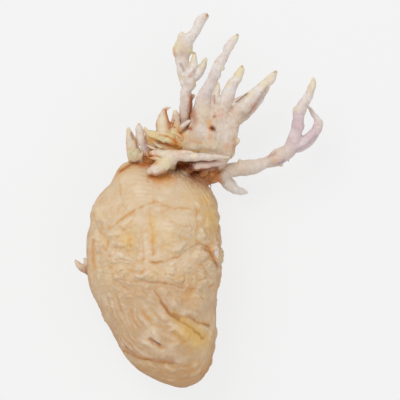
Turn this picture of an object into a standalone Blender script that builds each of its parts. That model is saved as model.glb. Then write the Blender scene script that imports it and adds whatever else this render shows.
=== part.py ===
"""A shrivelled potato lying on its side, with the long sprouts that grew from its eyes.

The tuber lies along Y: its tapered end is at -Y and the sprouting end at +Y. +Z is up and the
origin is the middle of the small flat spot that the tuber rests on. Lengths below are millimetres.
"""

import math

import bmesh
import bpy
from mathutils import Vector, noise

MM = 0.001

# Driving dimensions of the tuber.
UPPER_THICKNESS = 21.0
LOWER_THICKNESS = 19.6
REST_DEPTH = 18.6
REST_RADIUS = (8.5, 12.5)
CENTRE = Vector((-1.0, -4.0, 0.0))
CREASE_DEPTH = 1.2
AROUND = 64
ALONG = 60
UPPER_SHARE = 0.25
FOLD_SEED = 13

# The tuber's edge seen from above, anticlockwise from the right.
OUTLINE = [
    (25.8, 1.6), (24.8, 8.0), (24.2, 14.8), (23.5, 22.4), (21.3, 28.1), (18.0, 32.4), (14.0, 34.8),
    (8.0, 37.6), (2.0, 39.4), (-4.0, 40.4), (-10.0, 40.6), (-14.6, 39.0), (-17.2, 35.3), (-19.2, 31.4),
    (-22.2, 28.4), (-25.0, 24.8), (-27.2, 19.6), (-27.2, 15.4), (-28.6, 10.4), (-28.8, 3.0), (-28.4, -5.2),
    (-27.1, -11.4), (-24.0, -17.6), (-20.7, -24.2), (-17.1, -31.0), (-13.5, -37.4), (-8.6, -42.9),
    (-3.5, -46.1), (2.4, -48.8), (9.6, -50.4), (15.6, -48.6), (19.4, -44.4), (21.8, -38.4), (22.7, -31.2),
    (23.3, -23.6), (23.3, -17.0), (23.9, -11.3), (24.8, -4.4),
]

# Creases that can be seen from above: half-width, depth and the line that each follows.
CREASES = [
    (1.3, 1.7, [(-21, 13), (-17, 14.4), (-12, 18.8), (-8, 21.2), (-2, 23.6)]),
    (1.3, 1.3, [(-2, 24.6), (3, 22.8), (7, 21.6), (12, 21.4), (16, 20.4)]),
    (1.2, 1.6, [(-2.8, 20.0), (-2.2, 14), (-1.6, 8), (-1.4, 3.6)]),
    (1.1, 1.1, [(-6, 13), (-5.6, 4), (-5.2, -3)]),
    (1.2, 1.9, [(-3, 0.8), (3, 0.8), (8, 2.2), (12, 5.6), (17, 8), (20, 6.4)]),
    (1.2, 1.6, [(15.2, 21), (15.2, 13), (15.6, 8)]),
    (1.2, 2.4, [(18, 6), (20.6, 4), (22, 1), (23.6, -2)]),
    (1.2, 0.7, [(8, 34), (13, 31), (17.4, 26), (19.4, 20)]),
    (1.3, 1.6, [(-22.4, 15), (-22, 11.6), (-20, 9), (-19.6, 3)]),
    (1.2, 2.0, [(-26.4, 8), (-25.6, 1), (-25.2, -5), (-24.6, -13)]),
    (1.3, 1.0, [(-15.4, 33), (-14.4, 26), (-15.4, 20)]),
    (1.0, 1.2, [(-19, -2), (-15, -4), (-12, -2.4), (-7, -4.2), (-3, -1.6)]),
    (1.2, 2.0, [(-8.6, -7), (-4, -7), (-1, -7.6), (4, -8.2), (9.4, -9.6)]),
    (1.0, 1.2, [(-1.2, -3.2), (1, -6), (4, -7.8)]),
    (1.2, 1.6, [(12.4, -2), (12.6, -9), (11.2, -14), (9, -19)]),
    (1.1, 1.5, [(12.6, 1), (17, -0.6), (19.4, -3.4), (21, -6.4)]),
    (1.3, 1.6, [(13, -10), (18, -11), (22, -9)]),
    (1.6, 3.2, [(-1, -10.4), (0.4, -13), (2.4, -17), (5.6, -20.8), (9.6, -22.6), (14, -25.8), (17.6, -29.6)]),
    (1.2, 2.2, [(7, -19.4), (12, -21.2), (16, -23.4), (20, -25)]),
    (1.2, 1.4, [(-8, -14), (-5.4, -19), (-2, -23.6), (3, -26)]),
    (1.3, 1.5, [(-11.4, -16), (-9.6, -22), (-6, -28), (-2.6, -30.6)]),
    (1.1, 2.2, [(-3.6, -30.2), (-1.6, -32), (1.4, -33.2)]),
    (1.5, 2.2, [(-14, -35.4), (-7, -38.2), (0, -39.2), (8, -40)]),
    (1.3, 1.1, [(-7, -42.4), (-1, -43.8), (6, -44.2), (14, -43.0)]),
    (1.3, 1.5, [(-18, -27), (-15.6, -32), (-12, -37)]),
    (1.2, 1.2, [(-23, -14), (-20.6, -21), (-17.6, -27)]),
    (1.1, 1.3, [(-17, -12), (-14.6, -19), (-11, -26), (-7.6, -31)]),
    (1.1, 1.2, [(-20, -7), (-14, -8.6), (-9, -11)]),
    (1.2, 1.2, [(18.4, -29), (19.2, -35), (17.4, -41)]),
    (1.1, 1.0, [(6, -28), (10, -31), (13, -36)]),
]

# Swollen folds: a middle, a radius and a height, seen from above.
LUMPS = [
    ((16.5, -16.5), 4.6, 1.6), ((17.5, 2.6), 3.4, 1.2), ((17.4, -6.2), 3.2, 1.2),
    ((7.0, -3.6), 3.6, 1.2), ((6.0, 13.0), 6.0, 1.1), ((-12.6, 7.0), 5.0, 0.9),
    ((-3.0, -12.0), 3.2, 0.8), ((7.2, -14.2), 3.6, 1.1), ((-16.0, -17.0), 4.5, 0.6),
    ((-23.4, 21.0), 4.0, 1.6), ((5.0, -33.0), 5.0, 0.8), ((-11.0, 14.4), 3.6, 0.8),
    ((8.0, 6.0), 3.6, 0.8), ((-13.0, -31.0), 3.6, 0.6), ((19.6, 13.6), 3.2, 0.8),
    ((10.0, -29.4), 3.4, 0.8),
]

# Broad patches where the folds are weak: a middle, a radius and how far they are calmed.
CALM = [
    ((16.0, -16.5), 6.0, 0.85), ((7.5, 14.5), 7.0, 0.65), ((-8.5, 13.0), 5.5, 0.5), ((12.0, -32.0), 7.0, 0.55),
    ((5.0, -3.0), 4.0, 0.4), ((16.5, 1.0), 4.5, 0.4),
]

# Each sprout is a set of stems, and each stem a line of (x, y, z, radius) that ends in a tip.
CLEARANCE = 0.35
SPROUTS = {
    "sprout_front": [
        [(4.4, 36.0, 17.0, 2.4), (4.8, 38.4, 22.6, 2.6), (5.4, 41.2, 28.0, 2.5)],
        [(-2.6, 43.4, 27.2, 1.1), (-0.6, 43.2, 27.8, 1.8), (2.6, 42.8, 28.4, 2.1), (7.2, 42.4, 29.0, 2.2),
         (12.8, 42.0, 29.4, 2.0), (16.8, 42.0, 29.6, 1.6), (21.6, 41.8, 29.5, 1.3), (25.6, 41.8, 29.4, 0.9),
         (28.8, 41.6, 29.2, 0.4)],
        [(6.4, 41.4, 28.8, 2.1), (3.2, 39.2, 30.2, 2.6), (0.6, 37.6, 30.8, 2.8), (-1.4, 36.6, 30.9, 2.3),
         (-3.2, 35.9, 30.9, 1.4)],
        [(7.0, 43.0, 29.4, 1.4), (11.6, 43.6, 30.6, 1.0), (14.2, 43.4, 31.0, 0.4)],
    ],
    "sprout_low": [
        [(12.0, 35.4, 17.0, 1.7), (12.0, 37.0, 22.0, 1.7), (13.8, 38.0, 25.4, 1.6), (17.0, 38.4, 26.2, 1.8),
         (21.0, 38.8, 26.0, 1.7), (24.0, 39.3, 25.8, 1.2), (26.6, 39.7, 25.6, 0.5)],
        [(17.6, 34.4, 17.0, 2.0), (18.2, 36.0, 21.6, 2.0), (18.8, 37.4, 25.0, 1.6)],
    ],
    "sprout_long": [
        [(11.6, 30.4, 17.0, 2.8), (18.2, 33.2, 17.2, 2.9), (24.4, 35.6, 16.8, 3.4), (29.6, 36.8, 16.6, 3.0),
         (32.8, 37.4, 16.6, 2.9), (36.0, 38.0, 16.8, 3.2), (39.2, 38.5, 17.0, 2.9), (42.4, 39.5, 17.1, 2.3),
         (44.4, 40.3, 17.2, 2.4), (46.4, 41.0, 17.3, 3.0), (48.8, 41.9, 17.5, 3.1), (51.9, 44.3, 17.8, 3.0),
         (54.6, 47.3, 18.2, 3.0)],
        [(52.8, 45.6, 18.0, 2.6), (54.8, 48.8, 18.6, 2.9), (55.4, 52.0, 19.2, 2.4), (56.1, 55.2, 19.8, 2.5),
         (56.4, 58.0, 20.4, 2.4), (56.6, 60.4, 20.8, 2.6), (58.0, 62.8, 21.3, 2.1), (59.2, 64.8, 21.8, 2.1),
         (60.3, 66.8, 22.2, 1.7), (61.4, 69.4, 22.8, 1.7), (61.9, 71.5, 23.2, 1.3), (62.1, 73.2, 23.5, 0.8)],
        [(54.6, 46.2, 18.0, 2.7), (57.3, 47.2, 18.0, 2.8), (59.9, 48.9, 17.7, 2.6), (62.3, 51.3, 17.3, 2.1),
         (64.3, 54.2, 16.9, 2.1), (64.9, 56.3, 16.7, 1.4)],
        [(64.5, 55.4, 16.8, 1.6), (63.5, 57.8, 16.4, 1.2), (62.0, 60.2, 16.0, 1.0), (60.2, 62.6, 15.6, 0.5)],
        [(21.6, 36.0, 16.2, 2.7), (25.2, 34.6, 15.6, 2.7), (27.6, 32.2, 14.6, 2.5), (29.8, 30.0, 13.4, 2.2),
         (32.0, 28.7, 12.4, 1.8), (34.2, 28.0, 11.6, 1.3), (36.0, 27.8, 11.0, 0.6)],
        [(46.0, 41.6, 18.0, 1.8), (46.6, 44.2, 18.6, 0.9), (47.8, 45.4, 18.8, 0.4)],
        [(34.0, 38.6, 17.4, 1.7), (32.6, 40.6, 18.2, 0.8)],
        [(48.2, 40.4, 17.0, 1.8), (49.6, 38.8, 16.6, 0.8)],
        [(57.6, 61.6, 21.0, 1.4), (55.2, 61.3, 21.2, 0.7)],
    ],
    "sprout_tall": [
        [(7.6, 32.0, 18.0, 2.2), (8.6, 40.0, 18.6, 2.6), (9.8, 48.0, 19.4, 2.6), (10.6, 54.0, 20.4, 2.5),
         (10.8, 58.0, 20.8, 2.5), (11.1, 60.8, 21.0, 2.6), (11.2, 63.4, 21.2, 2.6), (11.2, 65.8, 21.4, 2.5),
         (11.1, 68.2, 21.5, 2.2), (12.0, 70.4, 21.6, 2.4), (12.2, 72.2, 21.7, 2.8), (11.6, 74.0, 21.8, 2.9),
         (10.4, 75.8, 21.9, 2.6)],
        [(11.4, 73.4, 21.8, 2.4), (10.0, 76.4, 22.0, 2.6), (9.8, 79.2, 22.2, 2.6), (9.8, 81.8, 22.4, 3.0),
         (9.8, 84.2, 22.6, 3.9), (10.2, 86.2, 22.8, 3.9), (11.3, 88.3, 22.9, 3.4), (13.4, 90.2, 23.2, 2.2),
         (14.8, 91.8, 23.5, 1.8), (15.5, 93.4, 23.8, 2.0), (16.5, 95.4, 24.2, 2.0), (17.9, 97.0, 24.5, 1.8),
         (19.3, 98.3, 24.8, 1.3)],
        [(9.6, 87.4, 22.9, 2.2), (9.3, 90.0, 23.0, 1.6), (9.6, 91.4, 23.0, 0.9)],
        [(8.0, 84.0, 22.2, 1.9), (6.5, 85.6, 22.2, 0.8)],
        [(13.4, 75.0, 22.8, 1.9), (14.1, 79.0, 23.3, 1.6), (14.6, 83.4, 23.9, 0.7)],
        [(12.6, 73.4, 22.0, 2.2), (15.4, 75.2, 21.8, 2.1), (17.4, 77.6, 21.6, 1.8), (19.2, 81.2, 21.5, 0.8)],
        [(12.4, 65.4, 21.4, 1.7), (14.3, 66.6, 21.4, 0.8)],
        [(12.4, 69.4, 21.6, 1.7), (14.6, 71.0, 21.6, 0.9)],
        [(10.8, 71.6, 21.8, 1.9), (9.0, 73.6, 21.8, 0.9)],
        [(8.4, 52.8, 22.6, 1.2), (10.2, 54.6, 23.8, 1.0), (12.2, 56.0, 24.6, 0.9), (13.6, 56.6, 24.9, 0.4)],
    ],
    "sprout_horns": [
        [(-7.6, 34.0, 17.6, 2.4), (-8.6, 38.4, 19.4, 3.0), (-9.0, 41.6, 22.0, 3.1), (-9.4, 44.6, 24.2, 2.7)],
        [(-9.4, 42.0, 24.0, 2.8), (-9.8, 44.8, 24.8, 2.7), (-10.4, 46.8, 25.3, 2.3), (-10.9, 48.8, 25.7, 2.0),
         (-11.2, 51.2, 26.1, 1.4), (-11.7, 53.4, 26.4, 0.7)],
        [(-4.4, 43.6, 24.4, 1.9), (-5.2, 45.8, 25.2, 1.7), (-6.2, 48.0, 25.8, 1.8), (-7.0, 50.8, 26.4, 1.8),
         (-7.5, 53.4, 27.0, 1.4), (-7.5, 54.9, 27.2, 0.8)],
        [(-8.6, 40.6, 21.6, 2.6), (-4.8, 42.6, 22.4, 2.5), (-2.6, 45.4, 23.4, 2.1)],
        [(-8.0, 38.0, 20.0, 2.6), (-4.4, 40.6, 22.0, 2.2), (-1.6, 41.0, 23.0, 1.6)],
    ],
    "sprout_hook": [
        [(0.0, 34.0, 18.0, 2.8), (0.6, 39.4, 19.4, 3.2), (1.4, 45.0, 21.4, 3.6), (2.2, 50.0, 22.4, 3.4),
         (2.4, 53.6, 23.0, 3.0), (1.9, 56.6, 23.4, 2.6), (2.1, 59.0, 23.8, 1.7), (3.0, 61.0, 24.2, 1.0),
         (5.0, 61.8, 24.5, 0.4)],
        [(4.4, 47.0, 21.6, 2.6), (6.4, 51.4, 22.0, 2.6), (7.0, 55.2, 22.4, 2.1), (7.2, 58.2, 22.6, 1.5),
         (6.8, 60.2, 22.8, 0.9)],
        [(5.6, 49.4, 24.4, 1.8), (1.4, 50.4, 25.4, 1.8), (-2.6, 50.9, 26.0, 1.8), (-4.5, 52.2, 26.2, 1.1),
         (-5.2, 53.9, 26.3, 0.4)],
        [(8.0, 46.0, 23.6, 1.6), (4.4, 48.4, 25.2, 1.4), (0.6, 50.0, 25.6, 0.6)],
        [(1.6, 45.0, 23.6, 1.8), (-1.6, 46.6, 25.2, 1.3), (-3.6, 48.6, 25.8, 0.5)],
        [(4.0, 44.6, 23.8, 1.8), (0.0, 44.8, 25.0, 1.1), (-3.0, 46.2, 25.4, 0.5)],
        [(-1.0, 46.0, 24.0, 2.2), (-2.4, 48.4, 24.8, 2.3), (-3.8, 50.0, 25.4, 1.5)],
        [(3.0, 43.0, 22.0, 2.6), (6.6, 46.2, 22.8, 2.4), (8.0, 49.6, 23.2, 2.0)],
    ],
    "sprout_fan": [
        [(11.0, 32.0, 18.0, 3.2), (12.6, 42.0, 20.0, 4.2), (14.8, 48.0, 22.0, 4.5), (16.8, 53.6, 23.4, 4.7),
         (17.4, 58.8, 24.2, 4.2), (18.0, 63.6, 24.8, 3.3), (18.2, 65.6, 25.0, 2.9), (19.5, 68.8, 25.4, 2.3),
         (21.2, 71.4, 25.8, 2.2), (22.4, 74.0, 26.1, 2.4), (23.2, 76.4, 26.4, 2.1), (24.6, 78.8, 26.7, 2.0),
         (25.7, 80.8, 27.0, 2.0), (27.2, 83.2, 27.3, 1.7), (28.0, 85.4, 27.6, 1.9), (29.9, 88.0, 27.9, 1.7),
         (31.8, 90.2, 28.2, 0.8)],
        [(18.0, 33.0, 18.0, 3.4), (21.0, 42.0, 20.4, 4.2), (23.4, 49.6, 22.6, 4.3), (24.8, 55.2, 23.6, 3.9),
         (25.6, 60.0, 24.2, 3.3), (27.4, 64.8, 24.8, 2.9), (28.0, 66.8, 25.0, 2.7), (28.7, 68.8, 25.3, 2.6),
         (29.8, 70.8, 25.6, 2.3), (31.2, 72.8, 25.8, 1.9), (32.4, 74.8, 26.1, 1.7), (33.2, 76.6, 26.4, 1.4),
         (33.6, 78.0, 26.6, 0.7)],
        [(21.0, 35.0, 18.0, 3.0), (25.2, 43.0, 20.4, 3.8), (27.8, 49.6, 22.2, 3.8), (29.2, 55.2, 23.0, 3.5),
         (31.6, 59.4, 23.4, 3.2), (35.2, 63.2, 23.6, 3.0), (38.8, 66.9, 23.7, 2.7), (42.4, 70.4, 23.7, 2.1),
         (45.2, 73.5, 23.6, 1.8), (47.1, 76.0, 23.5, 0.8)],
        [(30.6, 56.8, 21.6, 2.8), (34.2, 59.2, 21.2, 2.6), (37.6, 62.0, 21.0, 2.1), (40.8, 65.8, 20.8, 1.8),
         (43.0, 68.8, 20.7, 1.4), (44.4, 70.0, 20.7, 0.6)],
        [(22.4, 62.4, 24.4, 1.8), (23.2, 66.0, 25.0, 1.5), (23.8, 69.0, 25.4, 1.1), (24.0, 71.4, 25.6, 0.5)],
        [(30.6, 62.8, 24.4, 1.6), (33.2, 65.2, 25.2, 1.2), (36.0, 67.4, 25.7, 0.5)],
        [(20.0, 40.0, 20.4, 4.4), (20.6, 48.0, 22.8, 4.8), (21.2, 55.0, 23.8, 4.0), (21.8, 60.6, 24.2, 2.2)],
        [(27.0, 44.0, 20.8, 4.0), (27.0, 52.0, 23.0, 3.8), (28.6, 58.6, 24.0, 2.6)],
        [(30.0, 48.0, 22.4, 2.2), (32.2, 48.6, 22.6, 0.9)],
        [(8.0, 40.0, 19.6, 3.0), (9.6, 44.6, 21.4, 3.2), (11.0, 49.0, 22.8, 2.6), (12.4, 51.6, 23.8, 1.5)],
        [(23.2, 79.4, 26.6, 1.2), (24.8, 78.4, 26.8, 1.5), (25.8, 77.0, 26.6, 1.0)],
        [(26.6, 84.4, 27.4, 0.6), (28.0, 84.8, 27.5, 1.3), (29.6, 85.4, 27.6, 0.9)],
        [(30.6, 70.0, 25.4, 1.6), (27.8, 71.4, 25.6, 0.5)],
    ],
    "side_sprout": [
        [(-22.6, -3.4, 18.4, 1.8), (-26.6, -3.8, 18.8, 1.9), (-29.6, -2.8, 19.4, 1.5),
         (-31.8, -1.2, 19.9, 1.2), (-33.2, 0.6, 20.3, 0.5)],
        [(-25.6, -3.0, 19.2, 1.6), (-28.2, -0.8, 20.0, 1.5), (-29.6, 1.4, 20.6, 0.5)],
    ],
    "side_bud": [
        [(18.0, 4.6, 23.0, 1.6), (21.4, 5.8, 26.4, 2.0), (23.0, 4.0, 27.4, 1.6), (23.6, 1.4, 27.4, 0.5)],
    ],
}
FLATTENED = {"sprout_fan": 0.8, "sprout_horns": 0.65, "sprout_hook": 0.7}

# The rough crown that the top sprouts root in: middle and radius of each swelling.
CROWN = [
    ((3.6, 36.4, 18.6), 4.6), ((10.5, 35.6, 18.6), 5.0), ((16.0, 33.0, 18.0), 4.4),
]

SKIN = ((0.66, 0.47, 0.29), 0.6)
SPROUT = ((0.78, 0.70, 0.64), 0.5)


def clear_scene():
    """Removes what the scene holds before the model is made."""
    for obj in list(bpy.data.objects):
        bpy.data.objects.remove(obj)


def material(name, colour, roughness):
    """A plain Principled material."""
    made = bpy.data.materials.new(name)
    made.use_nodes = True
    shader = made.node_tree.nodes["Principled BSDF"]
    shader.inputs["Base Color"].default_value = (*colour, 1.0)
    shader.inputs["Roughness"].default_value = roughness
    shader.inputs["Metallic"].default_value = 0.0
    return made


def new_object(name, mesh, finish):
    """A named object in the scene, with its material."""
    obj = bpy.data.objects.new(name, mesh)
    bpy.context.scene.collection.objects.link(obj)
    mesh.materials.append(finish)
    return obj


def smooth(low, high, value):
    """0 below low, 1 above high, and a smooth step between."""
    t = min(max((value - low) / (high - low), 0.0), 1.0)
    return t * t * (3 - 2 * t)


def through(points, share):
    """The values at a share (0 to 1) of a smooth line through the points."""
    last = len(points) - 1
    where = min(max(share, 0.0), 1.0) * last
    i = min(int(where), last - 1)
    t = where - i
    p1, p2 = points[i], points[i + 1]
    p0 = points[i - 1] if i else [2 * a - b for a, b in zip(p1, p2)]
    p3 = points[i + 2] if i + 2 <= last else [2 * b - a for a, b in zip(p1, p2)]
    return [
        0.5 * (2 * b + (c - a) * t + (2 * a - 5 * b + 4 * c - d) * t ** 2 + (3 * b - a - 3 * c + d) * t ** 3)
        for a, b, c, d in zip(p0, p1, p2, p3)
    ]


def outline_radius():
    """A function from an angle about the tuber's middle to the radius of its outline there."""
    closed = [OUTLINE[-1], *OUTLINE, OUTLINE[0], OUTLINE[1]]
    steps = 24 * (len(closed) - 1)
    slots = 720
    table = [None] * slots
    for k in range(steps + 1):
        x, y = through(closed, k / steps)
        offset = Vector((x, y)) - CENTRE.xy
        angle = math.atan2(offset.y, offset.x)
        table[int((angle + math.pi) / (2 * math.pi) * slots) % slots] = offset.length
    for k in range(2 * slots):
        if table[k % slots] is None:
            table[k % slots] = table[(k - 1) % slots]

    def radius_at(angle):
        where = (angle + math.pi) / (2 * math.pi) * slots - 0.5
        low = math.floor(where)
        share = where - low
        return table[low % slots] * (1 - share) + table[(low + 1) % slots] * share

    return radius_at


def to_line(x, y, line):
    """The step from a point, seen from above, to the nearest place on a crease's line."""
    best = Vector((1e9, 0.0))
    for (ax, ay), (bx, by) in zip(line, line[1:]):
        dx, dy = bx - ax, by - ay
        t = max(0.0, min(1.0, ((x - ax) * dx + (y - ay) * dy) / (dx * dx + dy * dy)))
        step = Vector((ax + t * dx - x, ay + t * dy - y))
        if step.length < best.length:
            best = step
    return best


def over(p, up):
    """Where a point is among the creases: the underside repeats them turned half round."""
    return (p.x, p.y) if up > 0 else (-p.x - 3.0, -p.y - 8.0)


def gathered(p, up):
    """The point drawn along the skin towards the nearest crease, so that an edge lies in the valley."""
    x, y = over(p, up)
    steps = sorted((to_line(x, y, line) for _, _, line in CREASES), key=lambda s: s.length)
    step, other = steps[:2]
    alone = smooth(0.0, 1.0, other.length - step.length)
    pull = 0.85 * alone * smooth(1.3, 0.9, step.length) * smooth(0.45, 0.7, abs(up))
    turn = 1.0 if up > 0 else -1.0
    return p + Vector((step.x, step.y, 0.0)) * pull * turn


def pillows(p, cell, offset):
    """Puffed cells with narrow valleys between them: 0 in a valley, 1 on a pillow."""
    q = p / cell + Vector(offset)
    near = noise.voronoi(q)[0]
    return min((near[1] - near[0]) / 0.42, 1.0) ** 0.6


def folds(p):
    """Height of the skin's own folds at a point."""
    warp = noise.noise_vector(p * 0.06) * 4.5 + noise.noise_vector(p * 0.17) * 1.6
    q = p + warp
    wide = Vector((q.x * 0.72, q.y, q.z))
    long = Vector((q.x + 0.35 * q.y, 0.42 * (q.y - 0.35 * q.x), q.z))
    mix = smooth(-12.0, -26.0, p.y + 0.5 * p.x) * smooth(4.0, -4.0, p.x)
    big = pillows(wide.lerp(long, mix), 8.0, (0.3, 0.6, 0.1))
    small = pillows(q, 4.6, (5.1, 2.2, 7.7))
    broad = noise.noise(p * 0.04 + Vector((3.1, 8.2, 5.5)))
    return 1.4 * (big - 0.75) + 0.4 * (small - 0.7) + 1.2 * broad


def relief(p, up):
    """How far the skin stands out at a point whose normal points up by this much."""
    calm = 1.0 - 0.75 * smooth(16.0, 30.0, p.y)
    ends = smooth(0.5, 5.0, math.hypot(p.x - CENTRE.x, p.z))
    height = folds(p) * calm * ends
    side = smooth(0.05, 0.45, abs(up))
    x, y = over(p, up)
    for (cx, cy), radius, share in CALM:
        d = math.hypot(x - cx, y - cy) / radius
        height *= 1.0 - share * math.exp(-d * d)
    for half, depth, line in CREASES:
        d = to_line(x, y, line).length / half
        if d < 4.0:
            height += side * CREASE_DEPTH * depth * (0.3 * math.exp(-((d - 1.9) ** 2)) - math.exp(-d * d))
    for (cx, cy), radius, rise in LUMPS:
        d = math.hypot(x - cx, y - cy) / radius
        height += side * rise * math.exp(-d * d)
    return height


def tuber_mesh():
    """The wrinkled body: an egg in plan, flattened, with a flat spot under it."""
    radius_at = outline_radius()
    bm = bmesh.new()
    bmesh.ops.create_uvsphere(bm, u_segments=AROUND, v_segments=ALONG, radius=1.0)
    for v in bm.verts:
        # The rings are closer together on the upper side, which is the more wrinkled one.
        turn = math.atan2(v.co.x, -v.co.y)
        turn -= UPPER_SHARE * math.sin(turn)
        round_y = v.co.xy.length
        d = Vector((round_y * math.sin(turn), v.co.z, round_y * math.cos(turn)))
        flat = d.xy.length
        thick = UPPER_THICKNESS if d.z > 0 else LOWER_THICKNESS
        level = thick * d.z * (1.0 - 0.10 * max(-d.y, 0.0))
        angle = math.atan2(d.y, d.x)
        reach = radius_at(angle) * flat
        v.co = CENTRE + Vector((reach * math.cos(angle), reach * math.sin(angle), level))
    bmesh.ops.recalc_face_normals(bm, faces=bm.faces)
    bm.normal_update()
    for v in bm.verts:
        v.co = gathered(v.co, v.normal.z)
    moved = [(v, v.co + v.normal * relief(v.co, v.normal.z)) for v in bm.verts]
    for v, place in moved:
        spot = math.hypot(place.x / REST_RADIUS[0], place.y / REST_RADIUS[1])
        under = place.z < 0 and spot < 1.0
        place.z = -REST_DEPTH if under else max(place.z, -REST_DEPTH)
        v.co = (place + Vector((0.0, 0.0, REST_DEPTH))) * MM
    return finished(bm, "tuber")


def finished(bm, name):
    """The bmesh as a mesh of triangles, shaded smooth."""
    bmesh.ops.triangulate(bm, faces=bm.faces)
    bmesh.ops.recalc_face_normals(bm, faces=bm.faces)
    mesh = bpy.data.meshes.new(name)
    bm.to_mesh(mesh)
    bm.free()
    mesh.shade_smooth()
    return mesh


def stem_mesh(line, flat=1.0, swell=0.0):
    """A knobbly round stem along a line of (x, y, z, radius); swell makes it that much thicker all over."""
    thickest = max(point[3] for point in line)
    sides = min(max(round(math.tau * thickest / 2.1), 5), 10)
    step = max(1.3, 0.85 * thickest)
    length = sum((Vector(a[:3]) - Vector(b[:3])).length for a, b in zip(line, line[1:]))
    count = max(2, round(length / step))
    rows = [through(line, k / count) for k in range(count + 1)]
    places = [Vector(row[:3]) for row in rows]
    bm = bmesh.new()
    rings = []
    for k, place in enumerate(places):
        ahead = (places[min(k + 1, count)] - places[max(k - 1, 0)]).normalized()
        level = ahead.cross(Vector((0.0, 0.0, 1.0)))
        level = level.normalized() if level.length > 0.05 else Vector((1.0, 0.0, 0.0))
        upright = level.cross(ahead).normalized()
        ring = []
        for s in range(sides):
            a = math.tau * s / sides
            wide = level * math.cos(a) + upright * math.sin(a)
            out = level * math.cos(a) + upright * flat * math.sin(a)
            knob = 1.0 + 0.28 * noise.noise((place + out * 1.2) * 0.42)
            ring.append(bm.verts.new((place + out * rows[k][3] * knob + wide * swell) * MM))
        rings.append(ring)
    for low, high in zip(rings, rings[1:]):
        for s in range(sides):
            n = (s + 1) % sides
            bm.faces.new((low[s], low[n], high[n], high[s]))
    for ring, k, inner in ((rings[0], 0, 1), (rings[-1], count, count - 1)):
        out = (places[k] - places[inner]).normalized()
        tip = bm.verts.new((places[k] + out * (rows[k][3] + swell) * 0.7) * MM)
        for s in range(sides):
            bm.faces.new((ring[s], ring[(s + 1) % sides], tip))
    return finished(bm, "stem")


def ball_mesh(middle, radius):
    """One round swelling of the crown."""
    bm = bmesh.new()
    bmesh.ops.create_icosphere(bm, subdivisions=2, radius=radius * MM)
    bmesh.ops.translate(bm, verts=bm.verts, vec=Vector(middle) * MM)
    return finished(bm, "swelling")


def drop_scraps(mesh):
    """Keeps the largest body of a mesh, and drops the loose scraps and sealed hollows that a Boolean left."""
    bm = bmesh.new()
    bm.from_mesh(mesh)
    left = set(bm.verts)
    bodies = []
    while left:
        body = set()
        edge = [left.pop()]
        while edge:
            v = edge.pop()
            body.add(v)
            near = {e.other_vert(v) for e in v.link_edges} & left
            left -= near
            edge.extend(near)
        bodies.append(body)
    largest = max(bodies, key=len)
    bmesh.ops.delete(bm, geom=[v for v in bm.verts if v not in largest], context="VERTS")
    bm.to_mesh(mesh)
    bm.free()


def combine(target, meshes, operation):
    """Joins the meshes to the target, or cuts them from it, by one Boolean on a collection, applied."""
    helpers = bpy.data.collections.new("helpers")
    bpy.context.scene.collection.children.link(helpers)
    for mesh in meshes:
        helper = bpy.data.objects.new("helper", mesh)
        helper.hide_render = True
        helper.display_type = "WIRE"
        helpers.objects.link(helper)
    modifier = target.modifiers.new(operation.lower(), "BOOLEAN")
    modifier.operation = operation
    modifier.operand_type = "COLLECTION"
    modifier.collection = helpers
    modifier.solver = "EXACT"
    modifier.use_self = operation == "UNION"
    bpy.context.view_layer.update()
    evaluated = target.evaluated_get(bpy.context.evaluated_depsgraph_get())
    made = bpy.data.meshes.new_from_object(evaluated)
    drop_scraps(made)
    target.modifiers.remove(modifier)
    old = target.data
    target.data = made
    bpy.data.meshes.remove(old)
    for helper in list(helpers.objects):
        bpy.data.objects.remove(helper)
    bpy.data.collections.remove(helpers)


def make_sprouts(finish):
    """Each sprout's stems joined in one body, cut clear of the sprouts made before it."""
    before = []
    for name, stems in SPROUTS.items():
        flat = FLATTENED.get(name, 1.0)
        sprout = new_object(name, stem_mesh(stems[0], flat), finish)
        if len(stems) > 1:
            combine(sprout, [stem_mesh(line, flat) for line in stems[1:]], "UNION")
        if before:
            combine(sprout, [stem_mesh(*stem, CLEARANCE) for stem in before], "DIFFERENCE")
        before.extend((line, flat) for line in stems)


def make_tuber(finish):
    """The tuber with its crown, and a pocket round the root of each sprout."""
    tuber = new_object("tuber", tuber_mesh(), finish)
    combine(tuber, [ball_mesh(*swelling) for swelling in CROWN], "UNION")
    pockets = [
        stem_mesh(line, FLATTENED.get(name, 1.0), CLEARANCE)
        for name, stems in SPROUTS.items()
        for line in stems
    ]
    combine(tuber, pockets, "DIFFERENCE")


def main():
    clear_scene()
    noise.seed_set(FOLD_SEED)
    make_tuber(material("tuber_skin", *SKIN))
    make_sprouts(material("sprout_flesh", *SPROUT))


main()
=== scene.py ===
"""The shrivelled potato with its long sprouts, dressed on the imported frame.

Lengths are millimetres until a mesh is finished, with the origin and axes of the solids. The tuber is a fine
grid over the outline, folds and creases of its solid. Each sprout is grown from the stems of its solid.
"""

import math

import bpy
import numpy as np
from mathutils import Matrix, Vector, noise
from mathutils.kdtree import KDTree


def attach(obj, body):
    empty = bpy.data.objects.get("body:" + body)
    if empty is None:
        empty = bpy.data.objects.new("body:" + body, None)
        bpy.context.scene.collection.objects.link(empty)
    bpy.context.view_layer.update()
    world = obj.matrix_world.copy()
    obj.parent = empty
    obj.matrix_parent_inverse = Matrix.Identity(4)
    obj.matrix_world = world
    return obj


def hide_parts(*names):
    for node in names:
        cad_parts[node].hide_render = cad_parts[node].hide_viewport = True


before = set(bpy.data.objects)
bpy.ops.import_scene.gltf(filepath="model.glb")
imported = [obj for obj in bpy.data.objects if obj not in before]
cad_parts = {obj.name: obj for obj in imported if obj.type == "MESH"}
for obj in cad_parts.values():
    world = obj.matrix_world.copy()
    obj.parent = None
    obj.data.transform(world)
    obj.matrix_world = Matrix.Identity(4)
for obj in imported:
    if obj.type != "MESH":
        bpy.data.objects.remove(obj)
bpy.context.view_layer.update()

MM = 0.001

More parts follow.
